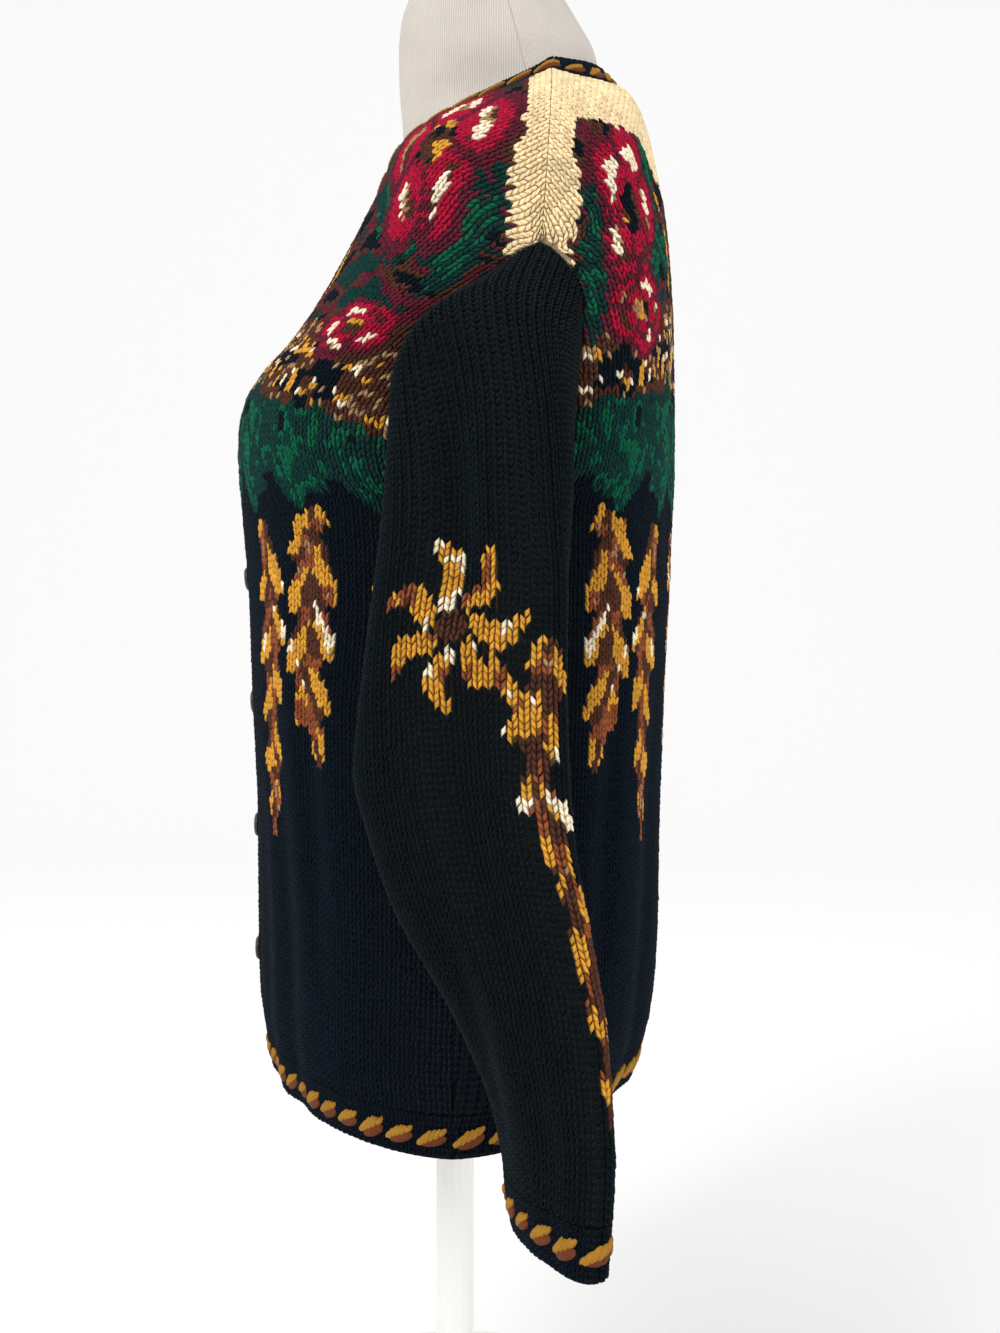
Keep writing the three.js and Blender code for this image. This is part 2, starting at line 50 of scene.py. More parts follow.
camera = bpy.data.objects.new("camera", bpy.data.cameras.new("camera"))
bpy.context.scene.collection.objects.link(camera)
camera.location = (1, 0.03, 0.52)
camera.rotation_euler = (math.radians(90), 0, math.radians(90))
camera.data.lens = 40.51
camera.data.sensor_width = 36
camera.data.clip_start = 0.01
bpy.context.scene.camera = camera
bpy.context.scene.view_settings.view_transform = "Standard"

world = bpy.data.worlds.new("studio")
bpy.context.scene.world = world
world.use_nodes = True
sky = world.node_tree.nodes["Background"].inputs
sky["Color"].default_value = (1, 1, 1, 1)
sky["Strength"].default_value = 0.95


def lamp(name, place, aim, size, watts):
    """A square soft lamp."""
    light = bpy.data.lights.new(name, "AREA")
    light.size = size
    light.energy = watts
    holder = bpy.data.objects.new(name, light)
    holder.location = place
    holder.rotation_euler = (Vector(aim) - Vector(place)).to_track_quat("-Z", "Y").to_euler()
    bpy.context.scene.collection.objects.link(holder)


lamp("key_lamp", (2.0, -1.6, 2.4), (0, 0, 0.6), 1.2, 42)
lamp("side_lamp", (1.2, 2.2, 1.2), (0, 0, 0.6), 1.0, 12)


def material(name, roughness, sheen=0.0):
    """A new material, with its node tree and its shader."""
    made = bpy.data.materials.new(name)
    made.use_nodes = True
    shader = made.node_tree.nodes["Principled BSDF"]
    shader.inputs["Roughness"].default_value = roughness
    shader.inputs["Sheen Weight"].default_value = sheen
    shader.inputs["Sheen Roughness"].default_value = 0.5
    return made, made.node_tree, shader


def smoothed(bm):
    """Shades all the faces of a bmesh smooth."""
    for face in bm.faces:
        face.smooth = True


UNTIED = Vector((1, 7.3, 53.1))  # no two points of the meshes put in order tie along this way
APART = 1000  # more than any of them spans along it


def in_order(bm, parts=1):
    """Puts the points and faces of a bmesh in the same order each run. Its equal parts stay in turn."""
    bm.verts.index_update()
    each = len(bm.verts) // parts
    bm.verts.sort(key=lambda vert: vert.index // each * APART + vert.co.dot(UNTIED))
    bm.faces.sort(key=lambda face: face.calc_center_median().dot(UNTIED))


def piece(name, bm, look):
    """A finished bmesh as an object in the scene."""
    mesh = bpy.data.meshes.new(name)
    bm.to_mesh(mesh)
    bm.free()
    mesh.materials.append(look)
    made = bpy.data.objects.new(name, mesh)
    bpy.context.scene.collection.objects.link(made)
    return made


floor_paint, _, floor_shader = material("floor_paint", 0.9)
floor_shader.inputs["Base Color"].default_value = (0.95, 0.95, 0.95, 1)
bm = bmesh.new()
bmesh.ops.create_grid(bm, x_segments=1, y_segments=1, size=6)
wall_foot = [edge for edge in bm.edges if all(vert.co.x < -5 for vert in edge.verts)]
risen = bmesh.ops.extrude_edge_only(bm, edges=wall_foot)["geom"]
bmesh.ops.translate(bm, vec=(0, 0, 8), verts=[v for v in risen if isinstance(v, bmesh.types.BMVert)])
bmesh.ops.bevel(bm, geom=wall_foot, offset=3, affect="EDGES", segments=24, profile=0.5, material=-1)
smoothed(bm)
floor = piece("floor", bm, floor_paint)

# ---- Back ----
# The back is one piece of intarsia stocking stitch, worked up from the hem in thick two-ply wool:
# black, with a flowered yoke. A thin wall is the cloth itself, and each of its stitches lies on it.

HEM = 268  # the hem's lower edge above the floor
CLOTH = 3.5
BAND = 22.3  # the border below a panel, with its seam
UNDERARM = 345
NECK_SHARE = 0.335  # the neck's share of a half panel's width
BACK_NECK_DROP = 52

BACK = np.array([  # along the cloth, y, up, edge x, edge y, edge up, square, droop
    (0, 119, 0, 225, 5, -3, 1.8, 1.2),
    (44, 130, 43, 223, 5, 41, 1.9, 1.2),
    (97, 133, 96, 220, 6, 93, 2, 1.2),
    (164, 133.5, 163, 216, 8, 159, 2.1, 1.2),
    (231, 135, 230, 211, 13, 224, 2.2, 1.2),
    (297, 138.5, 296, 206, 20, 286, 2.2, 1.2),
    (345, 140.5, 344, 205, 20, 332, 2.2, 1.2),
    (375, 141.5, 374, 205, 46, 356, 2.2, 1.2),
    (415, 141, 414, 203, 63, 392, 2.2, 1.3),
    (455, 140, 454, 197, 73, 427, 2.2, 1.4),
    (495, 138, 494, 190, 74, 454, 2.25, 1.5),
    (535, 135, 533, 184, 67, 472, 2.3, 1.55),
    (575, 128.5, 573, 181, 60, 480, 2.25, 1.6),
    (603, 122, 599, 180.5, 57, 482.5, 2.3, 1.6),
    (634, 108, 623, 180, 54, 484, 2.35, 1.75),
    (681, 62, 627.5, 180, 52, 484.5, 2.5, 1),
])
STEP = 2.0  # between the rows of a face
REACH, REACH_STEP = 450.0, 5.0  # how far from share 0 wales are followed
RUN_OFF = 200  # this far past an edge, a wale counts as one more share away
SIDES = (("left", 1), ("right", -1))


def smooth(knots, values, at):
    """Smooth curves through rows of values at knots, read at other places. They never overshoot."""
    wide = (-1,) + (1,) * (values.ndim - 1)
    step = np.diff(values, axis=0) / np.diff(knots).reshape(wide)
    before, after = step[:-1], step[1:]
    rising = before * after > 0
    middle = np.where(rising, 2 * before * after / np.where(rising, before + after, 1), 0)
    slope = np.concatenate([step[:1], middle, step[-1:]])
    i = np.clip(np.searchsorted(knots, at, side="right") - 1, 0, len(knots) - 2)
    width = (knots[i + 1] - knots[i]).reshape(wide)
    t = (at - knots[i]).reshape(wide) / width
    return (
        (2 * t**3 - 3 * t**2 + 1) * values[i]
        + (t**3 - 2 * t**2 + t) * width * slope[i]
        + (3 * t**2 - 2 * t**3) * values[i + 1]
        + (t**3 - t**2) * width * slope[i + 1]
    )


def power(value, exponent):
    return np.sign(value) * np.abs(value) ** exponent


def lengths(points):
    """How far along a line, or along each of several, each of its points lies."""
    gaps = np.linalg.norm(np.diff(points, axis=0), axis=-1)
    return np.concatenate([np.zeros_like(gaps[:1]), np.cumsum(gaps, axis=0)])


def at_shares(line, shares):
    """Points at shares of a line's length."""
    far = lengths(line)
    return np.stack([np.interp(shares * far[-1], far, line[:, axis]) for axis in range(3)], axis=1)


def half_section(row):
    """Half a section of the body, from its centre to its left edge."""
    _, y, up, edge_x, edge_y, edge_up, square, droop = row
    turn = np.linspace(0, math.pi / 2, 49)
    out, rise = np.cos(turn) ** (2 / square), np.cos(turn) ** droop
    spots = [edge_x * np.sin(turn) ** (2 / square), edge_y + (y - edge_y) * out]
    spots.append(HEM + edge_up + (up - edge_up) * rise)
    return np.stack(spots, axis=1)


class Face:
    """
    A face of cloth as a fine grid, read at heights along it and at shares across it. Its wales keep
    their distance from share 0, and stretch by up to a factor where the cloth slopes to the side.
    """

    def __init__(self, points, shares, outward, stretch=1.0):
        self.points, self.shares, self.hand, self.stretch = points, shares, outward, stretch
        normals = np.cross(np.gradient(points, axis=1), np.gradient(points, axis=0)) * outward
        self.normals = normals / np.linalg.norm(normals, axis=2, keepdims=True)
        climb = lengths(points)
        self.drops = (climb[-1] - climb)[..., None]
        self.top = (len(points) - 1) * STEP
        gaps = np.diff(points, axis=1)
        full, flat = np.linalg.norm(gaps, axis=2), np.hypot(gaps[..., 0], gaps[..., 1])
        eased = full / np.clip(full / np.maximum(flat, 1e-6), 1, stretch)
        across = np.concatenate([0 * eased[:, :1], eased.cumsum(axis=1)], axis=1)
        across -= across[:, len(shares) // 2, None]
        self.across = across[..., None]
        reach = np.arange(-REACH, REACH + 1, REACH_STEP)
        over = [np.maximum(reach - line[-1], 0) - np.maximum(line[0] - reach, 0) for line in across]
        within = [np.interp(reach, line, shares) for line in across]
        self.tracks = (np.array(within) + np.array(over) / RUN_OFF)[..., None]

    def mixed(self, grid, i, j):
        i, j = np.clip(i, 0, grid.shape[0] - 1.0001), np.clip(j, 0, grid.shape[1] - 1.0001)
        i0, j0 = i.astype(int), j.astype(int)
        ti, tj = (i - i0)[..., None], (j - j0)[..., None]
        low = grid[i0, j0] * (1 - tj) + grid[i0, j0 + 1] * tj
        high = grid[i0 + 1, j0] * (1 - tj) + grid[i0 + 1, j0 + 1] * tj
        return low * (1 - ti) + high * ti

    def read(self, grid, along, share):
        column = (share - self.shares[0]) / (self.shares[1] - self.shares[0])
        return self.mixed(grid, along / STEP, column)

    def place(self, along, share, height):
        """Spots at a height above the face."""
        out = self.read(self.normals, along, share) * np.asarray(height)[..., None]
        return self.read(self.points, along, share) + out

    def share_at(self, along, across):
        """The share where a wale lies. It passes the last share where the wale has run off."""
        return self.mixed(self.tracks, along / STEP, (across + REACH) / REACH_STEP)[..., 0]

    def across_at(self, along, share):
        return self.read(self.across, along, share)[..., 0]

    def to_top(self, along, share):
        """Millimetres of cloth between a spot and the face's upper edge."""
        return self.read(self.drops, along, share)[..., 0]


def body_face(table, outward):
    shares = np.linspace(-1, 1, 201)
    halves = np.stack([at_shares(half_section(row), shares[100:]) for row in table])
    left = smooth(table[:, 0], halves, np.arange(0, table[-1, 0] + STEP, STEP).clip(0, table[-1, 0]))
    return Face(np.concatenate([left[:, :0:-1] * (-1, 1, 1), left], axis=1), shares, outward, 1.3)


def creased(face, troughs, mirrored=True):
    """
    A face with soft troughs pressed into it. troughs: the distance across at the low end and at the
    high end, the heights of both ends, the trough's reach to each side, and its depth.
    """
    along = np.arange(len(face.points))[:, None] * STEP
    across = np.abs(face.across[..., 0]) if mirrored else face.across[..., 0]
    depths = np.zeros(across.shape)
    for low_x, high_x, low, high, reach, depth in troughs:
        rise = (along - low) / (high - low)
        middle = low_x + (high_x - low_x) * rise
        fade = np.sin(math.pi * np.clip(rise, 0, 1)) ** 0.7
        hollow = depth * fade * np.exp(-(((across - middle) / reach) ** 2))
        depths = np.maximum(depths, hollow)
    return Face(face.points - face.normals * depths[..., None], face.shares, face.hand, face.stretch)


BACK_TROUGHS = [
    (120, 106, -100, 270, 17, 3.2),
    (50, 38, -60, 205, 15, 2.2),
    (184, 170, 30, 310, 13, 2.8),
    (82, 100, 290, 470, 20, 2.2),
]
back_face = creased(body_face(BACK, -1), BACK_TROUGHS)


def dyed(swatches):
    """The colours of dyed yarns, from their shades on a swatch card."""
    tone = np.array(swatches) / 255
    return np.where(tone <= 0.04045, tone / 12.92, ((tone + 0.055) / 1.055) ** 2.4)


YARNS = dyed([
    (4, 16, 27),  # black
    (6, 16, 21),  # charcoal
    (242, 217, 172),  # cream
    (240, 226, 198),  # ivory
    (164, 18, 52),  # crimson
    (92, 28, 44),  # burgundy
    (8, 88, 62),  # green
    (12, 52, 48),  # deep green
    (78, 46, 34),  # brown
    (136, 74, 44),  # rust
    (160, 126, 88),  # tan
    (208, 150, 52),  # gold
])
BLACK, CHARCOAL, CREAM, IVORY, CRIMSON, BURGUNDY = range(6)
GREEN, DEEP_GREEN, BROWN, RUST, TAN, GOLD = range(6, 12)
UNDER_IN_PAINTED_SHADE = YARNS * np.array([0.4, 0.4, 0.42] + [0.16] * 9)[:, None]  # the yarns darkened as painted shade, for the cloth that shows between the stitches


def mottle(x, y, size, seed):
    """Soft patches from 0 to 1, about a size across."""

    def corner(i, j):
        mixed = np.sin(i * 127.1 + j * 311.7 + seed * 74.7) * 43758.5453
        return mixed - np.floor(mixed)

    i, j = np.floor(x / size), np.floor(y / size)
    s, t = x / size - i, y / size - j
    s, t = s * s * (3 - 2 * s), t * t * (3 - 2 * t)
    low = corner(i, j) * (1 - s) + corner(i + 1, j) * s
    high = corner(i, j + 1) * (1 - s) + corner(i + 1, j + 1) * s
    return low * (1 - t) + high * t


def pick(value, steps):
    """Yarns by steps of a value: pairs of an upper bound and a yarn."""
    bounds = [value < bound for bound, _ in steps]
    return np.select(bounds, [yarn for _, yarn in steps], steps[-1][1])


def flower(ink, x, y, centre, size, turn):
    """A round flower of five petals: crimson, with burgundy folds, ivory lights and a gold heart."""
    dx, dy = x - centre[0], y - centre[1]
    far, angle = np.hypot(dx, dy) / size, np.arctan2(dy, dx) - turn
    petal = np.abs(np.cos(2.5 * angle))
    depth = far / (0.74 + 0.26 * petal**0.7)
    wear = mottle(x, y, 10, centre[0])
    petals = np.where((depth > 0.84) | (petal < 0.24) | (wear > 0.84), BURGUNDY, CRIMSON)
    fold = (np.abs(depth - 0.56 - 0.1 * (wear - 0.5)) < 0.09) & (petal > 0.5)
    lights = [(0.3, BURGUNDY), (0.46, BROWN), (0.56, TAN), (1, IVORY)]
    petals = np.where(fold, pick(mottle(x, y, 14, turn), lights), petals)
    heart = pick(wear, [(0.3, BLACK), (0.5, BROWN), (0.75, GOLD), (1, TAN)])
    return np.where(depth < 1, np.where(far < 0.25, heart, petals), ink)


def leaf(ink, x, y, stalk, tip, width):
    """A plain pointed leaf of two mingled greens, with a dark vein and a dark edge on one side."""
    way = np.subtract(tip, stalk)
    size = np.hypot(*way)
    dx, dy = x - stalk[0], y - stalk[1]
    along = (dx * way[0] + dy * way[1]) / size**2
    across = (dx * way[1] - dy * way[0]) / size
    half = width / 2 * np.sin(math.pi * np.clip(along, 0, 1)) ** 0.7
    dark = (np.abs(across) < 1.7) | (across > half * 0.6) | (mottle(x, y, 7, stalk[0]) > 0.55)
    inside = (along > 0) & (along < 1) & (np.abs(across) < half)
    return np.where(inside, np.where(dark, DEEP_GREEN, GREEN), ink)


def leaves(ink, x, y, table):
    """Leaves from a table of stalks, tips and widths."""
    for stalk, tip, width in table:
        ink = leaf(ink, x, y, stalk, tip, width)
    return ink


STROKE = [(0.18, BROWN), (0.38, RUST), (0.8, GOLD), (1, IVORY)]


def stroke(ink, x, y, points, widths, seed, tones=STROKE):
    """A tapering stroke through points, worked in bits of brown, rust, gold and ivory."""
    points = np.asarray(points, float)
    bend = smooth(np.linspace(0, 1, len(points)), points, np.linspace(0, 1, 4 * len(points) + 1))
    best, share = np.full(x.shape, 1e9), np.zeros(x.shape)
    for i, (start, end) in enumerate(zip(bend[:-1], bend[1:])):
        way = end - start
        t = np.clip(((x - start[0]) * way[0] + (y - start[1]) * way[1]) / (way @ way + 1e-9), 0, 1)
        gap = np.hypot(x - start[0] - t * way[0], y - start[1] - t * way[1])
        share = np.where(gap < best, (i + t) / (len(bend) - 1), share)
        best = np.minimum(best, gap)
    half = np.interp(share, np.linspace(0, 1, len(widths)), widths) / 2
    wear = mottle(x * 1.3 + y * 0.4, y * 0.8, 8, seed)
    return np.where(best < half, pick(wear, tones), ink)


def frond(ink, x, y, top, size, bow, seed):
    """A drooping frond: a brown heart, uneven barbs of rust, gold and ivory, and ragged edges."""
    width, length = size
    x = x + 9 * (mottle(x, y, 15, seed + 0.3) - 0.5)
    y = y + 12 * (mottle(x, y, 13, seed + 0.6) - 0.5)
    drop = top[1] - y
    share = np.clip(drop / length, 0, 1)
    aside = x - top[0] - bow * np.sin(math.pi * share)
    wide = np.abs(aside)
    barb = np.sin((drop - 0.9 * wide) / 5.4 + np.where(aside > 0, 1.6, 0) + seed)
    wear = mottle(x, y * 0.7, 9, seed)
    light = pick(wear, [(0.14, RUST), (0.74, GOLD), (1, IVORY)])
    dark = pick(wear, [(0.14, TAN), (0.34, RUST), (0.8, BROWN), (1, RUST)])
    tone = np.where((barb > 0.15) & (wide > 2.5), light, dark)
    half = width / 2 * np.sin(math.pi * share**0.7) ** 0.6 * (0.78 + 0.22 * barb)
    return np.where((drop > 0) & (drop < length) & (wide < half), tone, ink)


def flecked(x, y, seed):
    """Short blocks of brown and tan, with bright flecks of gold and ivory in rows."""
    blocks = [(0.3, BROWN), (0.42, TAN), (0.7, BROWN), (0.9, BLACK), (1, TAN)]
    ground = pick(mottle(x, y * 1.5, 13, seed), blocks)
    fleck = (mottle(x * 1.3, y, 6.5, seed + 1) > 0.62) & (np.sin(y / 3.6 + x / 21) > -0.25)
    return np.where(fleck, np.where(mottle(x, y, 5, seed + 2) > 0.6, IVORY, GOLD), ground)


def body_ink(x, y):
    """What both the back and the fronts carry: fronds, a garland of leaves and a flecked band."""
    ink = np.full(x.shape, BLACK)
    ink = frond(ink, x, y, (188, 346), (50, 150), -8, 1)
    ink = frond(ink, x, y, (128, 340), (40, 188), 9, 2)
    ink = frond(ink, x, y, (240, 330), (34, 120), 4, 3)
    waver = (mottle(x, y, 17, 12) - 0.5) * 22
    bed = pick(mottle(x, y, 10, 13), [(0.6, DEEP_GREEN), (0.74, GREEN), (1, BLACK)])
    ink = np.where((y + waver > 378) & (x > 14), bed, ink)
    for i in range(9):
        turn = i % 2
        at, up = 10 + 29 * i, 374 + 9 * turn
        ink = leaf(ink, x, y, (at, up), (at + 50, up + 22 - 44 * turn), 34)
        ink = leaf(ink, x, y, (at + 14, up + 6), (at + 22, up + 44 - 84 * turn), 27)
    level = y + 0.0012 * (x - 110) ** 2 + (mottle(x, y, 11, 3) - 0.5) * 15
    ink = np.where((level > 424) & (level < 476), flecked(x, y, 4), ink)
    leafy = pick(mottle(x, y, 15, 8), [(0.34, BLACK), (0.5, BROWN), (0.62, BURGUNDY), (1, DEEP_GREEN)])
    return np.where(level > 476, leafy, ink)


BACK_LEAVES = [  # stalk, tip, width
    ((96, 482), (66, 548), 34),
    ((98, 486), (140, 530), 34),
    ((180, 470), (140, 516), 30),
    ((28, 470), (4, 522), 30),
    ((176, 474), (212, 520), 30),
]
BACK_SHOULDER_LEAVES = [  # the same, up from the shoulder seam
    ((136, -104), (118, -40), 30),
    ((176, -96), (184, -22), 30),
    ((214, -84), (198, -26), 24),
]


def back_ink(x, y, from_seam):
    x = np.abs(x)
    ink = body_ink(x, y)
    ink = frond(ink, x, y, (62, 338), (34, 140), -6, 9)
    ink = leaves(ink, x, y, BACK_LEAVES)
    up = -from_seam
    ink = leaves(ink, x, up, BACK_SHOULDER_LEAVES)
    ink = flower(ink, x, y, (56, 496), 42, 0.5)
    ink = flower(ink, x, up, (158, -66), 42, 0.2)
    ink = flower(ink, x, y, (176, 470), 34, 0.9)
    ink = stroke(ink, x, y, [(112, 486), (106, 520), (118, 556)], (6, 9, 4), 61)
    ragged = (mottle(x, y, 9, 5) - 0.5) * 7
    nape = 104 * np.exp(-((x / 124) ** 6))
    tip = 8 * np.clip((x - 150) / 30, 0, 1)
    return np.where(from_seam + ragged < 14 + nape + tip, CREAM, ink)


# One stitch: two plump legs that lean apart, each a hull of six points.
LEG = [  # across in wales, up in rows, height in millimetres
    (0.02, -0.28, -0.3),
    (0.49, 0.46, -0.6),
    (0.44, 1.46, -0.5),
    (0.0, 0.72, -0.6),
    (0.19, 0.2, 1.25),
    (0.33, 0.96, 1.05),
]

bm = bmesh.new()
for side in (1, -1):
    corners = [bm.verts.new((side * x, y, z)) for x, y, z in LEG]
    bmesh.ops.convex_hull(bm, input=corners)
bmesh.ops.recalc_face_normals(bm, faces=bm.faces)
smoothed(bm)
twist = bm.loops.layers.uv.new("Twist")
for face in bm.faces:
    for loop in face.loops:
        loop[twist].uv = (abs(loop.vert.co.x) * 2, loop.vert.co.y)
stitch = bpy.data.meshes.new("stitch")
bm.to_mesh(stitch)
bm.free()


def maths(tree, kind, *values):
    """A maths node, whose inputs are sockets or numbers."""
    made = tree.nodes.new("ShaderNodeMath")
    made.operation = kind
    for socket, value in zip(made.inputs, values):
        if isinstance(value, (int, float)):
            socket.default_value = value
        else:
            tree.links.new(value, socket)
    return made.outputs[0]


def relief(tree, shader, height, strength, depth):
    """Gives a shader a bump of a depth in metres."""
    bump = tree.nodes.new("ShaderNodeBump")
    bump.inputs["Strength"].default_value = strength
    bump.inputs["Distance"].default_value = depth
    tree.links.new(height, bump.inputs["Height"])
    tree.links.new(bump.outputs["Normal"], shader.inputs["Normal"])


def object_place(tree):
    """Where on the whole object a spot lies."""
    return tree.nodes.new("ShaderNodeTexCoord").outputs["Object"]


def noise(tree, place, scale, detail):
    made = tree.nodes.new("ShaderNodeTexNoise")
    made.inputs["Scale"].default_value = scale
    made.inputs["Detail"].default_value = detail
    tree.links.new(place, made.inputs["Vector"])
    return made.outputs["Fac"]


def wool(name, twisted):
    """Two-ply wool: the yarn's own colour, uneven in its dye, its nap, and its twist as fine ridges."""
    made, tree, shader = material(name, 0.9, sheen=0.03)
    shader.inputs["Sheen Roughness"].default_value = 0.4
    shader.inputs["Specular IOR Level"].default_value = 0.1
    yarn = tree.nodes.new("ShaderNodeAttribute")
    yarn.attribute_name = "yarn"
    place = object_place(tree)
    nap = maths(tree, "MULTIPLY", noise(tree, place, 900, 3), 0.7)
    uneven = maths(tree, "MULTIPLY", noise(tree, place, 70, 2), 0.5)
    shade = maths(tree, "ADD", maths(tree, "ADD", nap, uneven), 0.4)
    tint = tree.nodes.new("ShaderNodeVectorMath")
    tint.operation = "SCALE"
    tree.links.new(yarn.outputs["Color"], tint.inputs[0])
    tree.links.new(shade, tint.inputs["Scale"])
    tree.links.new(tint.outputs[0], shader.inputs["Base Color"])
    height = nap
    if twisted:
        plies = tree.nodes.new("ShaderNodeTexWave")
        plies.bands_direction = "DIAGONAL"
        plies.inputs["Scale"].default_value = 1.1
        plies.inputs["Distortion"].default_value = 0.5
        spun = tree.nodes.new("ShaderNodeUVMap")
        spun.uv_map = "Twist"
        tree.links.new(spun.outputs[0], plies.inputs["Vector"])
        height = maths(tree, "ADD", plies.outputs["Fac"], nap)
    relief(tree, shader, height, 0.5, 0.0004)
    return made


stitch_wool = wool("two_ply_wool", True)
cloth_wool = wool("wool_under_the_stitches", False)


def paint(mesh, colours):
    """Gives each vertex the colour of its yarn."""
    layer = mesh.color_attributes.new("yarn", "FLOAT_COLOR", "POINT")
    rgba = np.ones((len(colours), 4), np.float32)
    rgba[:, :3] = colours
    layer.data.foreach_set("color", rgba.ravel())


def repeated(name, mesh, counts, steps=(1, 1)):
    """A mesh repeated across and up, joined as one object, with its corners in the same order."""
    holder = bpy.data.objects.new(name, mesh)
    bpy.context.scene.collection.objects.link(holder)
    for axis, (count, step) in enumerate(zip(counts, steps)):
        array = holder.modifiers.new("repeat", "ARRAY")
        array.count = count
        array.use_relative_offset = False
        array.use_constant_offset = True
        array.constant_offset_displace = [step * (axis == 0), step * (axis == 1), 0]
    depsgraph = bpy.context.evaluated_depsgraph_get()
    joined = bpy.data.meshes.new_from_object(
        holder.evaluated_get(depsgraph), preserve_all_data_layers=True, depsgraph=depsgraph
    )
    joined.name = name
    holder.modifiers.clear()
    holder.data = joined
    corners = np.empty(len(joined.vertices) * 3, np.float32)
    joined.vertices.foreach_get("co", corners)
    return holder, corners.reshape(-1, 3).T.astype(float)


EDGE_ROOM = (-0.3, 0, 0.05)  # in wales: a kept stitch's room at the first edge, none, and at the last


def knit(name, face, columns, gauge, edges, ink, low=0.0, high=None, proud=1.0, lift=0.0, side=1):
    """
    The stitches of a piece, on its face. columns: its wales, counted from share 0. gauge: a wale's
    width and a row's depth. edges: the lowest and highest share, as functions of the height. ink: the
    yarn by distance across, height and distance to the top. proud, lift: how plump the stitches are,
    and how far above the face they lie. side: -1 for the right half.
    """
    high = face.top if high is None else high
    wale, row = gauge
    rng = np.random.default_rng(sum(map(ord, name)))
    fine = np.linspace(low, high, 360)[:, None]
    across = (np.arange(*columns)[None] + 0.5) * wale
    shares = face.share_at(fine + 0 * across, across + 0 * fine)
    shares = np.clip(shares, face.shares[0], face.shares[-1])
    climbs = lengths(face.read(face.points, fine + 0 * shares, shares))
    counts = np.maximum(1, np.round(climbs[-1] / row)).astype(int)
    rows, wales = counts.max(), across.size

    holder, corners = repeated(name, stitch, (wales, rows))
    mesh = holder.data
    x, y, z = corners.reshape(3, rows, wales, 2 * len(LEG))
    loose = rng.normal(0, 1, (3, rows, wales, 1))
    x = x + columns[0] + 0.5 + loose[0] * 0.03
    y = y + loose[1] * 0.05
    z = z * (1 + loose[2] * 0.1) * proud + lift
    middle_rows = np.arange(rows) + 0.5
    along, middle = np.empty_like(y), np.empty((rows, wales))
    for j, (count, climb) in enumerate(zip(counts, climbs.T)):
        along[:, j] = np.interp(y[:, j] * climb[-1] / count, climb, fine[:, 0])
        middle[:, j] = np.interp(middle_rows * climb[-1] / count, climb, fine[:, 0])
    first, last = edges(along)
    spots = face.place(along, np.clip(face.share_at(along, x * wale), first, last), z)
    spots[..., 0] *= side
    mesh.vertices.foreach_set("co", (spots / 1000).astype(np.float32).ravel())

    first, last = edges(middle)
    beside = [face.share_at(middle, across + room * wale + 0 * middle) for room in EDGE_ROOM]
    keep = (beside[0] > first) & (beside[2] < last) & (middle_rows[:, None] < counts)
    legs = across[..., None] + np.array([0.25, -0.25]) * wale + 0 * middle[..., None]
    heights = np.broadcast_to(middle[..., None], legs.shape)
    to_top = face.to_top(middle, np.clip(beside[1], face.shares[0], face.shares[-1]))
    yarns = ink(legs, heights, np.broadcast_to(to_top[..., None], legs.shape))
    shade = 1 + rng.normal(0, 0.08, (rows, wales, 1, 1))
    paint(mesh, (YARNS[np.repeat(yarns, len(LEG), axis=2)] * shade).reshape(-1, 3))

    bm = bmesh.new()
    bm.from_mesh(mesh)
    bm.verts.ensure_lookup_table()
    dropped = np.flatnonzero(~np.repeat(keep.ravel(), 2 * len(LEG)))
    bmesh.ops.delete(bm, geom=[bm.verts[i] for i in dropped], context="VERTS")
    if side * face.hand < 0:
        bmesh.ops.reverse_faces(bm, faces=bm.faces)
    bm.to_mesh(mesh)
    bm.free()
    mesh.materials.clear()
    mesh.materials.append(stitch_wool)
    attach(holder, "root")
    return holder


def cloth(name, face, size, spots, ink, out=-0.6, deep=CLOTH - 0.6, side=1, wraps=False):
    """
    The cloth of a piece, as a thin wall just under its stitches, coloured in painted shade. size:
    columns and rows of its grid.
    spots: the height and share at each place of the grid, as functions of two numbers from 0 to 1.
    """
    columns, rows = size
    bm = bmesh.new()
    bmesh.ops.create_grid(bm, x_segments=columns, y_segments=rows, size=0.5)
    u, v = (np.array([vert.co[axis] for vert in bm.verts]) + 0.5 for axis in (0, 1))
    along, share = spots(u, v)
    places = face.place(along, share, np.full(along.shape, out))
    # Painted shade: the cloth takes its yarns darkened, to show as shadow between the stitches.
    colours = UNDER_IN_PAINTED_SHADE[ink(face.across_at(along, share), along, face.to_top(along, share))]
    places[:, 0] *= side
    tint = bm.verts.layers.float_color.new("yarn")
    for vert, place, colour in zip(bm.verts, places / 1000, colours):
        vert.co = place
        vert[tint] = (*colour, 1)
    outward = face.read(face.normals, along[:1], share[:1])[0] * (side, 1, 1)
    bm.verts.ensure_lookup_table()
    bm.normal_update()
    if bm.verts[0].link_faces[0].normal.dot(Vector(outward)) < 0:
        bmesh.ops.reverse_faces(bm, faces=bm.faces)
    if wraps:
        bmesh.ops.remove_doubles(bm, verts=bm.verts, dist=1e-5)
    smoothed(bm)
    made = piece(name, bm, cloth_wool)
    wall = made.modifiers.new("wall", "SOLIDIFY")
    wall.thickness = deep / 1000
    wall.offset = -1
    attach(made, "root")
    return made


def plain_spots(low, high, first, last):
    """An even grid between two heights and two shares, for a piece of cloth."""
    return lambda u, v: (low + (high - low) * v, first + (last - first) * u)


GAUGE = (5.8, 3.7)  # a wale and a row
BODY_WALES = 50


def neck_scoop(share):
    """The back's upper edge, scooped out behind the neck."""
    inside = np.clip(np.abs(share) / NECK_SHARE, 0, 1)
    return BACK[-1, 0] - BACK_NECK_DROP * np.sqrt(1 - inside**2)


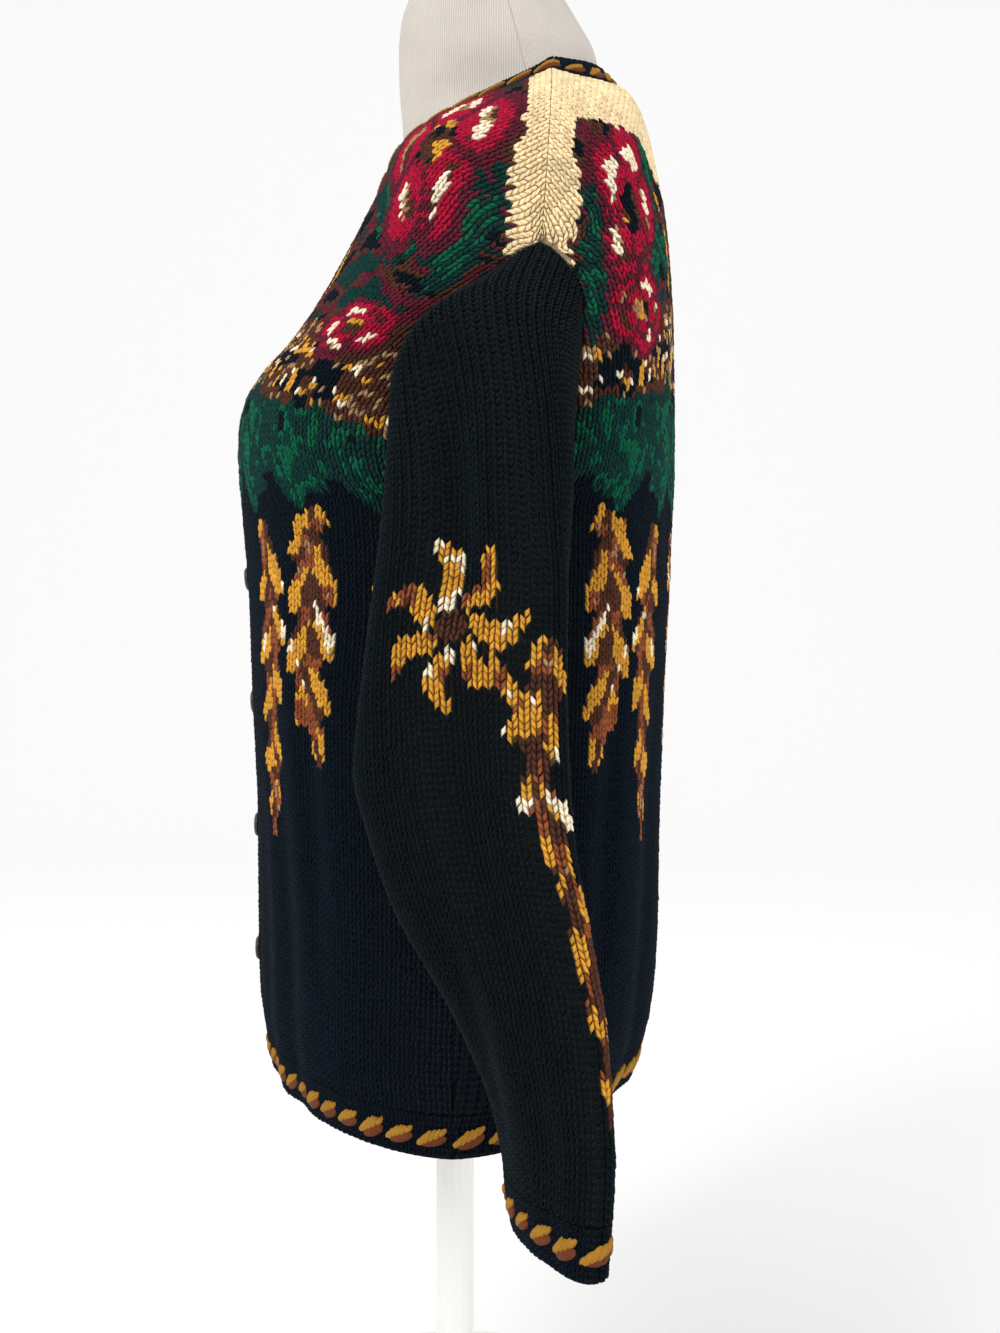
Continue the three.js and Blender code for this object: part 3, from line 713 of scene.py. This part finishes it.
def back_edges(along):
    depth = np.clip((BACK[-1, 0] - along) / BACK_NECK_DROP, 0, 1)
    return np.where(depth < 1, NECK_SHARE * np.sqrt(1 - depth**2), -1.0), 1.0


def back_spots(u, v):
    """The columns lie closer together beside the neck, where its edge is steep."""
    half, close = np.abs(2 * u - 1), 0.4
    near = NECK_SHARE * np.sin(math.pi / 2 * np.clip(half / close, 0, 1))
    beyond = NECK_SHARE + (1 - NECK_SHARE) * (half - close) / (1 - close)
    share = np.where(half < close, near, beyond)
    top = neck_scoop(share)
    return BAND + (top - BAND) * v, share * np.sign(2 * u - 1)


back_cloth = cloth("back_cloth", back_face, (60, 90), back_spots, back_ink)
back_stitches = [
    knit(
        f"back_stitches_{name}", back_face, (0, BODY_WALES), GAUGE, back_edges, back_ink,
        BAND, side=side,
    )
    for name, side in SIDES
]
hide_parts("back_panel")

# ---- Fronts ----
# Two fronts in the same knitting, shaped along the V. Their flowers lie in front of the shoulder
# seams, and a long slim frond hangs beside each button band.

FRONT = np.array([  # along the cloth, y, up, edge x, edge y, edge up, square, droop
    (0, -118, 3, 225, 5, -3, 1.8, 1.2),
    (44, -124, 47, 223, 5, 41, 1.85, 1.2),
    (97, -125, 100, 220, 6, 93, 1.9, 1.2),
    (164, -125.5, 167, 216, 8, 159, 2.05, 1.2),
    (231, -128, 234, 211, 13, 224, 2.2, 1.2),
    (297, -131, 300, 206, 20, 286, 2.2, 1.2),
    (345, -135, 347, 205, 20, 332, 2.2, 1.2),
    (375, -136.5, 377, 206, -6, 347, 2.2, 1.2),
    (396, -136, 398, 206, -20, 364, 2.2, 1.2),
    (415, -131.5, 416, 205.5, -26, 381, 2.2, 1.2),
    (434, -121, 432, 204.5, -25, 398, 2.2, 1.2),
    (458, -105, 449, 202.5, -18, 418, 2.2, 1.3),
    (498, -84, 481, 199, -2, 438, 2.2, 1.35),
    (533, -68, 512, 194, 14, 453, 2.2, 1.35),
    (570, -52, 545, 188, 30, 469, 2.2, 1.3),
    (615, -31, 585, 183, 43, 480, 2.3, 1.1),
    (718, 62, 627.5, 180, 52, 484.5, 2.5, 1),
])
V_POINT = 408
BUTTON_BAND = 30
FRONT_TROUGHS = [
    (152, 138, -80, 255, 15, 3.4),
    (84, 100, -120, 190, 18, 2.4),
    (190, 174, 60, 330, 12, 2.8),
]
front_face = creased(body_face(FRONT, 1), FRONT_TROUGHS)
HALF_FRONT = front_face.across[0, -1, 0]
BAND_EDGE = BUTTON_BAND / 2 / HALF_FRONT
BAND_LAP = (BUTTON_BAND / 2 + 8) / HALF_FRONT


def v_edge(along):
    """The share of a front's inner edge: the button band's, and above it the V."""
    rise = np.clip((along - V_POINT) / (FRONT[-1, 0] - V_POINT), 0, 1)
    foot = (BUTTON_BAND / 2 + 0.3) / HALF_FRONT
    return foot + (NECK_SHARE - foot) * rise**0.9


FRONT_LEAVES = [  # stalk, tip, width, up from the shoulder seam
    ((150, -128), (100, -104), 34),
    ((140, -128), (186, -84), 36),
    ((92, -120), (60, -70), 28),
    ((210, -92), (196, -24), 26),
]


def front_ink(x, y, from_seam):
    x = np.abs(x)
    ink = body_ink(x, y)
    ink = frond(ink, x, y, (46, 352), (26, 226), -7, 9)
    up = -from_seam
    ink = leaves(ink, x, up, FRONT_LEAVES)
    ink = flower(ink, x, y, (66, 476), 40, 0.4)
    ink = flower(ink, x, up, (138, -72), 60, 0.1)
    ink = flower(ink, x, y, (196, 472), 30, 0.8)
    ink = stroke(ink, x, y, [(106, 470), (112, 504), (100, 532)], (6, 9, 4), 62)
    ragged = (mottle(x, y, 9, 5) - 0.5) * 6
    return np.where(from_seam + ragged < 14 + 8 * np.clip((x - 150) / 30, 0, 1), CREAM, ink)


def front_spots(u, v):
    """Rows lie evenly up to the V's point, and evenly above it."""
    foot = 0.62
    below = BAND + (V_POINT - BAND) * v / foot
    above = V_POINT + (FRONT[-1, 0] - V_POINT) * (v - foot) / (1 - foot)
    along = np.where(v < foot, below, above)
    edge = v_edge(along)
    return along, edge + (1 - edge) * u


def front_edges(along):
    return v_edge(along), 1.0


def lapped_edges(along):
    """The right front's stitches end where the upper band lies on it."""
    return np.where(along < V_POINT, BAND_LAP + 0.002, v_edge(along)), 1.0


for (name, side), edges in zip(SIDES, (front_edges, lapped_edges)):
    front_cloth = cloth(
        f"front_cloth_{name}", front_face, (28, 95), front_spots, front_ink, side=side
    )
    stitches = knit(
        f"front_stitches_{name}", front_face, (2, BODY_WALES), GAUGE, edges, front_ink,
        BAND, side=side,
    )
    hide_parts(f"front_{name}")

# ---- Sleeves ----
# Wide drop sleeves that hang empty, pressed flat along a ridge. They are charcoal, with gold and
# brown fronds down the ridge and a gold flower of seven petals over the elbow.

SLEEVE = np.array([  # up, front x, front y, back x, back y, half, lean, ridge
    (387, 215, -27, 223, 68, 7, 112, 25),
    (352, 221, -28, 244, 66, 17, 70, 40),
    (317, 226, -30, 257, 65, 21, 35, 48),
    (284, 230, -34, 262, 65, 22, 14, 52),
    (235, 233, -40, 267, 65, 22, 4, 52),
    (199, 234, -43, 272, 66, 22, 0, 53),
    (169, 235, -36, 277, 67, 21, 0, 57),
    (133, 237, -23, 287, 71, 20, 0, 66),
    (78, 240, 9, 308, 77, 17.5, 0, 82),
    (29, 243, 31, 326, 77, 16, 0, 91),
    (-21, 247, 42, 338, 72, 14.5, 0, 95),
])
SLEEVE_SQUARE = 2.15
CUFF = 24


def sleeve_section(row):
    """One section of the sleeve, from its ridge round by the front."""
    up, front_x, front_y, back_x, back_y, half, lean, ridge = row
    middle = np.array([(front_x + back_x) / 2, (front_y + back_y) / 2, HEM + up])
    long = np.array([back_x - front_x, back_y - front_y, 0]) / 2
    out = np.array([long[1], -long[0], 0]) * half / np.hypot(long[0], long[1]) + (0, 0, lean / 2)
    turn = math.radians(ridge) - np.linspace(0, 2 * math.pi, 97)[:, None]
    corner = 2 / SLEEVE_SQUARE
    return middle + long * power(np.sin(turn), corner) + out * power(np.cos(turn), corner)


def armhole_line():
    """The armhole, from the shoulder's tip down the front and up the back."""
    edge = np.ones(41)
    front = front_face.place(np.linspace(FRONT[-1, 0], UNDERARM, 41), edge, 0 * edge)
    back = back_face.place(np.linspace(UNDERARM, BACK[-1, 0], 41), edge, 0 * edge)
    return np.concatenate([front, back[1:]])


sleeve_lines = [armhole_line()] + [sleeve_section(row) for row in SLEEVE]
quarters = np.stack([at_shares(line, np.array([0, 0.25, 0.5, 0.75])) for line in sleeve_lines])
down = np.concatenate([[0], np.linalg.norm(np.diff(quarters, axis=0), axis=2).mean(axis=1).cumsum()])
sleeve_shares = np.linspace(-0.5, 0.5, 161)
rings = np.stack([at_shares(line, (sleeve_shares + 1) % 1) for line in sleeve_lines])
rings[:, (0, -1)] = rings[:, :1]
heights = np.arange(0, down[-1] + STEP, STEP).clip(0, down[-1])
SLEEVE_TROUGHS = [
    (43, 48, 296, 418, 14, 14),
    (40, 46, 110, 290, 15, 9),
    (84, 66, 20, 200, 15, 5),
    (-30, -24, 60, 380, 13, 4.5),
    (26, 40, -20, 120, 11, 2.4),
    (-66, -60, 140, 330, 14, 3),
]
sleeve_face = Face(smooth(down, rings, heights)[::-1], sleeve_shares, -1)
sleeve_face = creased(sleeve_face, SLEEVE_TROUGHS, mirrored=False)
SLEEVE_TOP = sleeve_face.top - 1.1
CUFF_TOP = CUFF * (down[-1] - down[-2]) / (SLEEVE[-2, 0] - SLEEVE[-1, 0])
SLEEVE_FOOT = CUFF_TOP + 0.5


def sleeve_ink(x, y, from_seam):
    ink = np.full(x.shape, CHARCOAL)
    ink = frond(ink, x, y, (-2, 300), (30, 132), 5, 6)
    ink = frond(ink, x, y, (-4, 182), (26, 120), -5, 7)
    warm = [(0.16, BROWN), (0.4, RUST), (0.86, GOLD), (1, IVORY)]
    bright = [(0.14, RUST), (0.6, GOLD), (1, IVORY)]
    heart = (46, 300)
    for j in range(7):
        angle = 0.3 + 2 * math.pi * j / 7
        way = np.array([math.cos(angle), math.sin(angle)])
        side = np.array([-way[1], way[0]])
        petal = [heart + 13 * way, heart + 25 * way + 7 * side, heart + 38 * way]
        ink = stroke(ink, x, y, petal, (9, 13, 5), 81 + j, bright if j % 2 else warm)
    ink = np.where(np.hypot(x - heart[0], y - heart[1]) < 8, BROWN, ink)
    return stroke(ink, x, y, [(4, 262), (16, 272), (24, 286)], (10, 9, 5), 95, warm)


def sleeve_edges(along):
    return -0.5, 0.5


sleeve_spots = plain_spots(SLEEVE_FOOT, SLEEVE_TOP, -0.5, 0.5)
for name, side in SIDES:
    sleeve_cloth = cloth(
        f"sleeve_cloth_{name}", sleeve_face, (40, 85), sleeve_spots, sleeve_ink,
        side=side, wraps=True,
    )
    stitches = knit(
        f"sleeve_stitches_{name}", sleeve_face, (-34, 34), GAUGE, sleeve_edges, sleeve_ink,
        SLEEVE_FOOT, SLEEVE_TOP, side=side,
    )
    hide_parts(f"sleeve_{name}")

# ---- Roped borders ----
# A narrow border is picked up along the hem and round each cuff in finer black stitches. A rope of
# slanted lozenges lies on it: each is one rust float with gold stitches fanned out above.

BORDER_GAUGE = (4.6, 3.1)
HEM_BORDER = 22
PITCH = 18.4  # from one lozenge of the rope to the next
HEM_ROPE, CUFF_ROPE = 10.5, 13.5  # how far up its border each rope runs
ROPE_PAINTED_SHADE = 0.5  # painted shade: the rope's yarns darkened, against the same ones in the yoke

LOZENGE = [  # across, up, height, half length, half width, half depth, slant in degrees, yarn
    (1.0, -1.6, 0.9, 7.6, 3.3, 1.5, 18, RUST),
    (-6.4, -2.2, 0.9, 2.6, 1.7, 1.4, 38, GOLD),
    (-4.6, -0.9, 1.2, 3.8, 1.8, 1.5, 52, GOLD),
    (-2.2, 0.5, 1.3, 4.1, 1.8, 1.5, 62, GOLD),
    (0.4, 1.2, 1.3, 3.9, 1.8, 1.5, 60, GOLD),
    (3.0, 2.2, 1.3, 3.7, 1.7, 1.5, 54, GOLD),
    (5.6, 3.2, 1.1, 3.3, 1.6, 1.4, 40, GOLD),
]

bm = bmesh.new()
tint = bm.verts.layers.float_color.new("yarn")
for across, up, height, long, wide, deep, slant, yarn in LOZENGE:
    float_verts = bmesh.ops.create_uvsphere(bm, u_segments=7, v_segments=6, radius=1)["verts"]
    bmesh.ops.rotate(bm, verts=float_verts, matrix=Matrix.Rotation(math.pi / 2, 3, "Y"))
    bmesh.ops.scale(bm, verts=float_verts, vec=(long, wide, deep))
    bmesh.ops.rotate(bm, verts=float_verts, matrix=Matrix.Rotation(math.radians(slant), 3, "Z"))
    bmesh.ops.translate(bm, verts=float_verts, vec=(across, up, height))
    # Each lozenge takes its yarn darkened as painted shade.
    for vert in float_verts:
        vert[tint] = (*(YARNS[yarn] * ROPE_PAINTED_SHADE), 1)
smoothed(bm)
in_order(bm, len(LOZENGE))
lozenge = bpy.data.meshes.new("lozenge")
bm.to_mesh(lozenge)
bm.free()
lozenge.materials.append(cloth_wool)


def rope(name, face, span, middle, side=1):
    """A row of whole lozenges at a height on a face, evenly between two distances across it."""
    count = round((span[1] - span[0]) / PITCH)
    pitch = (span[1] - span[0]) / count
    rng = np.random.default_rng(sum(map(ord, name)))
    holder, corners = repeated(name, lozenge, (count, 1), (pitch, 0))
    x, y, z = corners.reshape(3, count, len(lozenge.vertices))
    centres = np.arange(count)[:, None] * pitch
    x = x - centres
    size, tilt = 1 + rng.normal(0, 0.05, (count, 1)), rng.normal(0, 0.06, (count, 1))
    ragged = 1 + rng.normal(0, 0.07, (count, len(LOZENGE)))
    ragged = ragged.repeat(len(lozenge.vertices) // len(LOZENGE), axis=1)
    across = span[0] + pitch / 2 + centres + side * face.hand * x * size
    along = middle + y * size * ragged + x * tilt
    spots = face.place(along, face.share_at(middle + 0 * across, across), z)
    spots[..., 0] *= side
    holder.data.vertices.foreach_set("co", (spots / 1000).astype(np.float32).ravel())
    holder.data.update()
    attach(holder, "root")
    return holder


def plain_black(x, y, from_top):
    return np.full(np.shape(x), BLACK)


def cuff_ink(x, y, from_top):
    return np.where(y > CUFF_TOP - 2.5, CHARCOAL, BLACK)


def whole_half(along):
    return -1.0, 1.0


hem_spots = plain_spots(0, HEM_BORDER, -1, 1)
hem_cloth = cloth("hem_cloth_back", back_face, (90, 6), hem_spots, plain_black)
hem_pieces = [
    knit(
        f"hem_stitches_back_{name}", back_face, (0, 62), BORDER_GAUGE, whole_half,
        plain_black, 0, HEM_BORDER, side=side,
    )
    for name, side in SIDES
]
span = (0, back_face.across[int(HEM_ROPE / STEP), -1, 0])
for name, side in SIDES:
    hem_pieces.append(rope(f"hem_rope_back_{name}", back_face, span, HEM_ROPE, side))
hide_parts("hem_back")
hem_spots = plain_spots(0, HEM_BORDER, v_edge(0.0), 1)
cuff_spots = plain_spots(0, CUFF_TOP, -0.5, 0.5)
half = sleeve_face.across[int(CUFF_ROPE / STEP), -1, 0]
starts = ((front_edges, BAND_EDGE), (lapped_edges, BAND_LAP))
for (name, side), (edges, start) in zip(SIDES, starts):
    hem_cloth = cloth(
        f"hem_cloth_{name}", front_face, (45, 6), hem_spots, plain_black, side=side
    )
    stitches = knit(
        f"hem_stitches_{name}", front_face, (3, 62), BORDER_GAUGE, edges, plain_black,
        0, HEM_BORDER, side=side,
    )
    span = (start * HALF_FRONT, HALF_FRONT)
    lozenges = rope(f"hem_rope_{name}", front_face, span, HEM_ROPE, side)
    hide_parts(f"hem_front_{name}")
    cuff_cloth = cloth(
        f"cuff_cloth_{name}", sleeve_face, (44, 6), cuff_spots, cuff_ink,
        side=side, wraps=True,
    )
    stitches = knit(
        f"cuff_stitches_{name}", sleeve_face, (-28, 28), BORDER_GAUGE, sleeve_edges,
        cuff_ink, 0, CUFF_TOP, side=side,
    )
    lozenges = rope(f"cuff_rope_{name}", sleeve_face, (-half, half), CUFF_ROPE, side)
    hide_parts(f"cuff_{name}")

# ---- Neckband ----
# A border with the same rope is picked up round the neck, from the V's point over the shoulders and
# back down. It lies on the form in front and stands up behind the neck.

NECKBAND = 24
NECK_ROPE = 9.5
LIFT = 0.7  # how far it turns up behind the neck, as a slope
SHOULDER_LIFT = 0.42  # and just in front of the shoulders


def neckband_face():
    alongs = np.linspace(V_POINT, FRONT[-1, 0], 90)[:-1]
    turns = np.linspace(math.pi / 2, -math.pi / 2, 61)
    behind_share = NECK_SHARE * np.sin(turns)
    behind_along = neck_scoop(behind_share)
    shares = v_edge(alongs)
    points, normals = [], []
    for face, along, share in (
        (front_face, alongs, shares),
        (back_face, behind_along, behind_share),
        (front_face, alongs[::-1], -shares[::-1]),
    ):
        points.append(face.place(along, share, 0 * share))
        normals.append(face.read(face.normals, along, share))
    points, normals = np.concatenate(points), np.concatenate(normals)
    near = SHOULDER_LIFT * np.clip((alongs - FRONT[-1, 0]) / 170 + 1, 0, 1)
    lift = np.concatenate([near, SHOULDER_LIFT + (LIFT - SHOULDER_LIFT) * np.cos(turns), near[::-1]])
    sides = np.repeat([1, 0, -1], [len(alongs), len(turns), len(alongs)])
    inwards = np.cross(normals, np.gradient(points, axis=0))
    inwards /= np.linalg.norm(inwards, axis=1, keepdims=True)
    inwards[:, 2] += lift
    for _ in range(6):
        inwards[1:-1] = (inwards[:-2] + 2 * inwards[1:-1] + inwards[2:]) / 4
    inwards /= np.linalg.norm(inwards, axis=1, keepdims=True)
    distances = np.arange(0, NECKBAND + STEP, STEP)
    strip = points[None] + inwards[None] * distances[:, None, None]
    front = sides != 0
    strip[:, front, 0] = sides[front] * np.maximum(strip[:, front, 0] * sides[front], 0.3)
    far = lengths(points)
    even = np.linspace(0, far[-1], 301)
    lines = [[np.interp(even, far, line[:, axis]) for axis in range(3)] for line in strip]
    return Face(np.moveaxis(np.array(lines), 1, 2), np.linspace(-1, 1, 301), 1)


neck_face = neckband_face()
neck_spots = plain_spots(0.5, NECKBAND, -1, 1)
neck_cloth = cloth("neck_cloth", neck_face, (200, 6), neck_spots, plain_black)
neck_stitches = knit(
    "neck_stitches", neck_face, (-100, 100), BORDER_GAUGE, whole_half, plain_black,
    0.5, NECKBAND, 0.8,
)
neck_rope = rope("neck_rope", neck_face, neck_face.across[5, (0, -1), 0], NECK_ROPE)
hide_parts("neckband")

# ---- Button bands ----
# Two bands of plain black knitting up the centre. The right one laps over the left one, and over the
# edge of its own front.

UPPER = CLOTH + 0.45
BAND_HIGH = V_POINT - 0.3


def band_edges(along):
    return -BAND_LAP, BAND_EDGE


under_spots = plain_spots(0, BAND_HIGH, -BAND_EDGE, BAND_EDGE)
upper_spots = plain_spots(0, BAND_HIGH, -BAND_LAP, BAND_EDGE)
under_cloth = cloth("under_band", front_face, (8, 80), under_spots, plain_black, out=0)
upper_cloth = cloth(
    "upper_band", front_face, (8, 80), upper_spots, plain_black, out=UPPER - 0.6
)
upper_stitches = knit(
    "upper_band_stitches", front_face, (-5, 4), BORDER_GAUGE, band_edges, plain_black,
    0, BAND_HIGH, 0.8, UPPER - 0.5,
)
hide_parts("front_band_left")
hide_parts("front_band_right")

# ---- Buttons ----
# Five round dark buttons, turned with a raised rim and a shallow dish, and sewn on with black thread
# through four holes.

BUTTON_PROFILE = [  # radius, height
    (0, 0), (6.8, 0), (7.8, 0.7), (8, 1.5), (7.4, 2.6), (6.6, 3.1), (5.6, 2.9), (4.2, 2.2), (0, 2.0)
]
LOWEST_BUTTON, HIGHEST_BUTTON = 62, 390  # above the hem
THREAD_SIZE, THREAD_UP, THREAD_ROUND = (0.0052, 0.0009, 0.0008), 0.0023, 0.0003


def two_tones(tree, shader, amount, low, high):
    """Blends a shader's colour between two tones. low, high: where in the amount each lies, and it."""
    ramp = tree.nodes.new("ShaderNodeValToRGB")
    for stop, (position, tone) in zip(ramp.color_ramp.elements, (low, high)):
        stop.position = position
        stop.color = (*tone, 1)
    tree.links.new(amount, ramp.inputs[0])
    tree.links.new(ramp.outputs[0], shader.inputs["Base Color"])


horn, nodes, shader = material("dark_horn", 0.32)
place = object_place(nodes)
streaks = noise(nodes, place, 260, 4)
two_tones(nodes, shader, streaks, (0.35, (0.008, 0.007, 0.006)), (0.7, (0.035, 0.026, 0.02)))
relief(nodes, shader, noise(nodes, place, 900, 2), 0.15, 0.0002)

thread, nodes, shader = material("button_thread", 0.85)
shader.inputs["Base Color"].default_value = (0.02, 0.02, 0.022, 1)
relief(nodes, shader, noise(nodes, object_place(nodes), 2500, 2), 0.5, 0.0002)


def sewn_on(name, bm, look, turn, seat):
    """Turns and moves a part of a button to its seat on the band."""
    bmesh.ops.transform(bm, matrix=turn, verts=bm.verts)
    bmesh.ops.translate(bm, vec=seat, verts=bm.verts)
    made = piece(name, bm, look)
    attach(made, "root")
    return made


for i, along in enumerate(np.linspace(LOWEST_BUTTON, HIGHEST_BUTTON, 5)):
    spot, out = np.array([along]), np.array([UPPER + 0.55])
    seat = front_face.place(spot, np.zeros(1), out)[0] / 1000
    normal = Vector(front_face.read(front_face.normals, spot, np.zeros(1))[0])
    turn = normal.to_track_quat("Z", "Y").to_matrix().to_4x4()
    bm = bmesh.new()
    profile = [bm.verts.new((r / 1000, 0, z / 1000)) for r, z in BUTTON_PROFILE]
    edges = [bm.edges.new(pair) for pair in zip(profile, profile[1:])]
    bmesh.ops.spin(
        bm, geom=profile + edges, axis=(0, 0, 1), cent=(0, 0, 0),
        steps=48, angle=2 * math.pi, use_merge=True,
    )
    bmesh.ops.remove_doubles(bm, verts=bm.verts, dist=1e-6)
    bmesh.ops.recalc_face_normals(bm, faces=bm.faces)
    smoothed(bm)
    in_order(bm)
    button = sewn_on(f"horn_button_{i + 1}", bm, horn, turn, seat)
    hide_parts(f"button_{i + 1}")

    bm = bmesh.new()
    for lean in (45, -45):
        made = bmesh.ops.create_cube(bm, size=1)["verts"]
        bmesh.ops.scale(bm, vec=THREAD_SIZE, verts=made)
        slant = Matrix.Rotation(math.radians(lean), 3, "Z")
        bmesh.ops.rotate(bm, cent=(0, 0, 0), matrix=slant, verts=made)
    bmesh.ops.translate(bm, vec=(0, 0, THREAD_UP), verts=bm.verts)
    rims = list(bm.edges)
    bmesh.ops.bevel(
        bm, geom=rims, offset=THREAD_ROUND, affect="EDGES", segments=2, profile=0.5, material=-1
    )
    sewn_on(f"button_thread_{i + 1}", bm, thread, turn, seat)

# ---- Dress form ----
# A padded bust without arms, covered in undyed linen with a fine upright rib and a seam up each side.
# The cardigan hangs from its shoulders, so it is made last, to lie just inside the cloth.

FORM = np.array([  # height, half width, front, back, square
    (305, 148, -88, 98, 2.1),
    (400, 150, -90, 104, 2.1),
    (480, 138, -88, 102, 2.15),
    (560, 147, -102, 110, 2.15),
    (640, 158, -126, 126, 2.2),
    (690, 164, -118, 132, 2.3),
    (740, 163, -88, 134, 2.4),
    (785, 162, -66, 132, 2.4),
    (820, 158, -46, 130, 2.4),
    (845, 145, -36, 127, 2.3),
    (866, 115, -34, 120, 2.2),
    (880, 80, -35, 112, 2),
    (889, 62, -36, 108, 2),
    (903, 58, -37, 102, 2),
    (923, 57, -37.5, 95, 2),
    (944, 54, -36, 83, 2),
    (966, 51, -29, 70, 2),
    (984, 46, -24, 61, 2),
    (992, 36, -15, 50, 2),
])
ROOM = 5.5  # from the cloth's face to the form
FOOT, HEIGHT = FORM[0, 0], FORM[-1, 0] - FORM[0, 0]
COVERED = (640, 915)  # the heights where the cloth lies on the form

bm = bmesh.new()
bmesh.ops.create_cone(bm, cap_ends=False, segments=144, radius1=1, radius2=1, depth=1)
upright = [edge for edge in bm.edges if abs(edge.verts[0].co.z - edge.verts[1].co.z) > 0.5]
bmesh.ops.subdivide_edges(bm, edges=upright, cuts=159, use_grid_fill=True)
heights = np.clip([vert.co.z + 0.5 for vert in bm.verts], 0, 1)
heights = FOOT + HEIGHT * (1 - (1 - heights) ** 1.3)
halves, fronts, backs, squares = smooth(FORM[:, 0], FORM[:, 1:], heights).T
turns = np.array([math.atan2(vert.co.y, vert.co.x) for vert in bm.verts])
skin = np.stack(
    [
        halves * power(np.cos(turns), 2 / squares),
        fronts + (backs - fronts) * (0.5 + power(np.sin(turns), 2 / squares) / 2),
        heights,
    ],
    axis=1,
)

# Every spot that the cloth covers is kept just inside it.
covers = []
for face, edges in ((back_face, back_edges), (front_face, front_edges)):
    along, share = np.meshgrid(np.arange(330, face.top, 4), np.linspace(-1, 1, 101), indexing="ij")
    shown = np.abs(share) > edges(along)[0]
    spots = face.place(along, share, 0 * along)[shown]
    covers.append((spots, face.read(face.normals, along, share)[shown]))
covers.append((neck_face.points[1:].reshape(-1, 3), neck_face.normals[1:].reshape(-1, 3)))
cover_spots, cover_normals = (np.concatenate(parts) for parts in zip(*covers))
tree = KDTree(len(cover_spots))
for i, spot in enumerate(cover_spots):
    tree.insert(spot, i)
tree.balance()
for _ in range(3):
    for i in np.flatnonzero((heights > COVERED[0]) & (heights < COVERED[1])):
        _, near, gap = tree.find(skin[i])
        depth = (skin[i] - cover_spots[near]) @ cover_normals[near]
        aside = math.sqrt(max(gap**2 - depth**2, 0))
        if depth > -ROOM and aside < 6:
            skin[i] -= cover_normals[near] * (depth + ROOM)
for vert, spot in zip(bm.verts, skin / 1000):
    vert.co = spot
eased = [v for v, height in zip(bm.verts, heights) if COVERED[0] < height < COVERED[1] + 15]
for _ in range(12):
    bmesh.ops.smooth_vert(
        bm, verts=eased, factor=0.5, use_axis_x=True, use_axis_y=True, use_axis_z=True
    )
for at_top in (False, True):
    rim = [e for e in bm.edges if e.is_boundary and (e.verts[0].co.z > 0.6) == at_top]
    bmesh.ops.contextual_create(bm, geom=rim)
bmesh.ops.recalc_face_normals(bm, faces=bm.faces)
for face in bm.faces:
    face.smooth = len(face.verts) == 4

linen, nodes, shader = material("ribbed_linen", 0.9, sheen=0.1)
place = object_place(nodes)
axes = nodes.nodes.new("ShaderNodeSeparateXYZ")
nodes.links.new(place, axes.inputs[0])
side_way, depth_way, up_way = axes.outputs

# The ribs run upright, and lie on the bias behind the slanting side seam.
RIBS_ROUND, RIBS_UP, WEFTS_UP = 230, 1000, 6500  # a radian round the form, and a metre up
MIDDLE, SEAM_PLACE, SEAM_SLOPE, SEAM_HALF = 0.025, 0.261, 0.24, 0.0005
around = maths(nodes, "ARCTAN2", maths(nodes, "SUBTRACT", depth_way, MIDDLE), side_way)
slant = maths(nodes, "ADD", depth_way, maths(nodes, "MULTIPLY", up_way, SEAM_SLOPE))
past_seam = maths(nodes, "ADD", slant, -SEAM_PLACE)
behind = maths(nodes, "GREATER_THAN", past_seam, 0)
bias = maths(nodes, "MULTIPLY", maths(nodes, "MULTIPLY", behind, up_way), RIBS_UP)
rib = maths(nodes, "SINE", maths(nodes, "ADD", maths(nodes, "MULTIPLY", around, RIBS_ROUND), bias))
weft = maths(nodes, "SINE", maths(nodes, "MULTIPLY", up_way, WEFTS_UP))
woven = maths(nodes, "ADD", rib, maths(nodes, "MULTIPLY", weft, 0.4))
seam = maths(nodes, "LESS_THAN", maths(nodes, "ABSOLUTE", past_seam), SEAM_HALF)
weave = maths(nodes, "SUBTRACT", woven, maths(nodes, "MULTIPLY", seam, 2.2))
uneven = maths(nodes, "ADD", maths(nodes, "MULTIPLY", noise(nodes, place, 35, 4), 0.35), 0.33)
tone = maths(nodes, "ADD", maths(nodes, "MULTIPLY", weave, 0.16), uneven)
two_tones(nodes, shader, tone, (0.25, (0.45, 0.405, 0.36)), (0.75, (0.67, 0.61, 0.55)))
relief(nodes, shader, weave, 0.5, 0.0004)

form = piece("linen_form", bm, linen)
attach(form, "root")
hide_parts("form")

# ---- Stand ----
# A round steel plate with a turned edge, and a slim steel tube screwed into its middle and up into
# the form. Both have the same satin white powder coat, with its faint orange-peel skin.

powder_coat, nodes, shader = material("powder_coat", 0.42)
place = object_place(nodes)
coat = noise(nodes, place, 9, 3)
two_tones(nodes, shader, coat, (0, (0.8, 0.79, 0.77)), (1, (0.86, 0.855, 0.84)))
relief(nodes, shader, noise(nodes, place, 420, 1), 0.12, 0.0004)
for name in ("base", "pole"):
    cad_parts[name].data.materials.clear()
    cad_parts[name].data.materials.append(powder_coat)
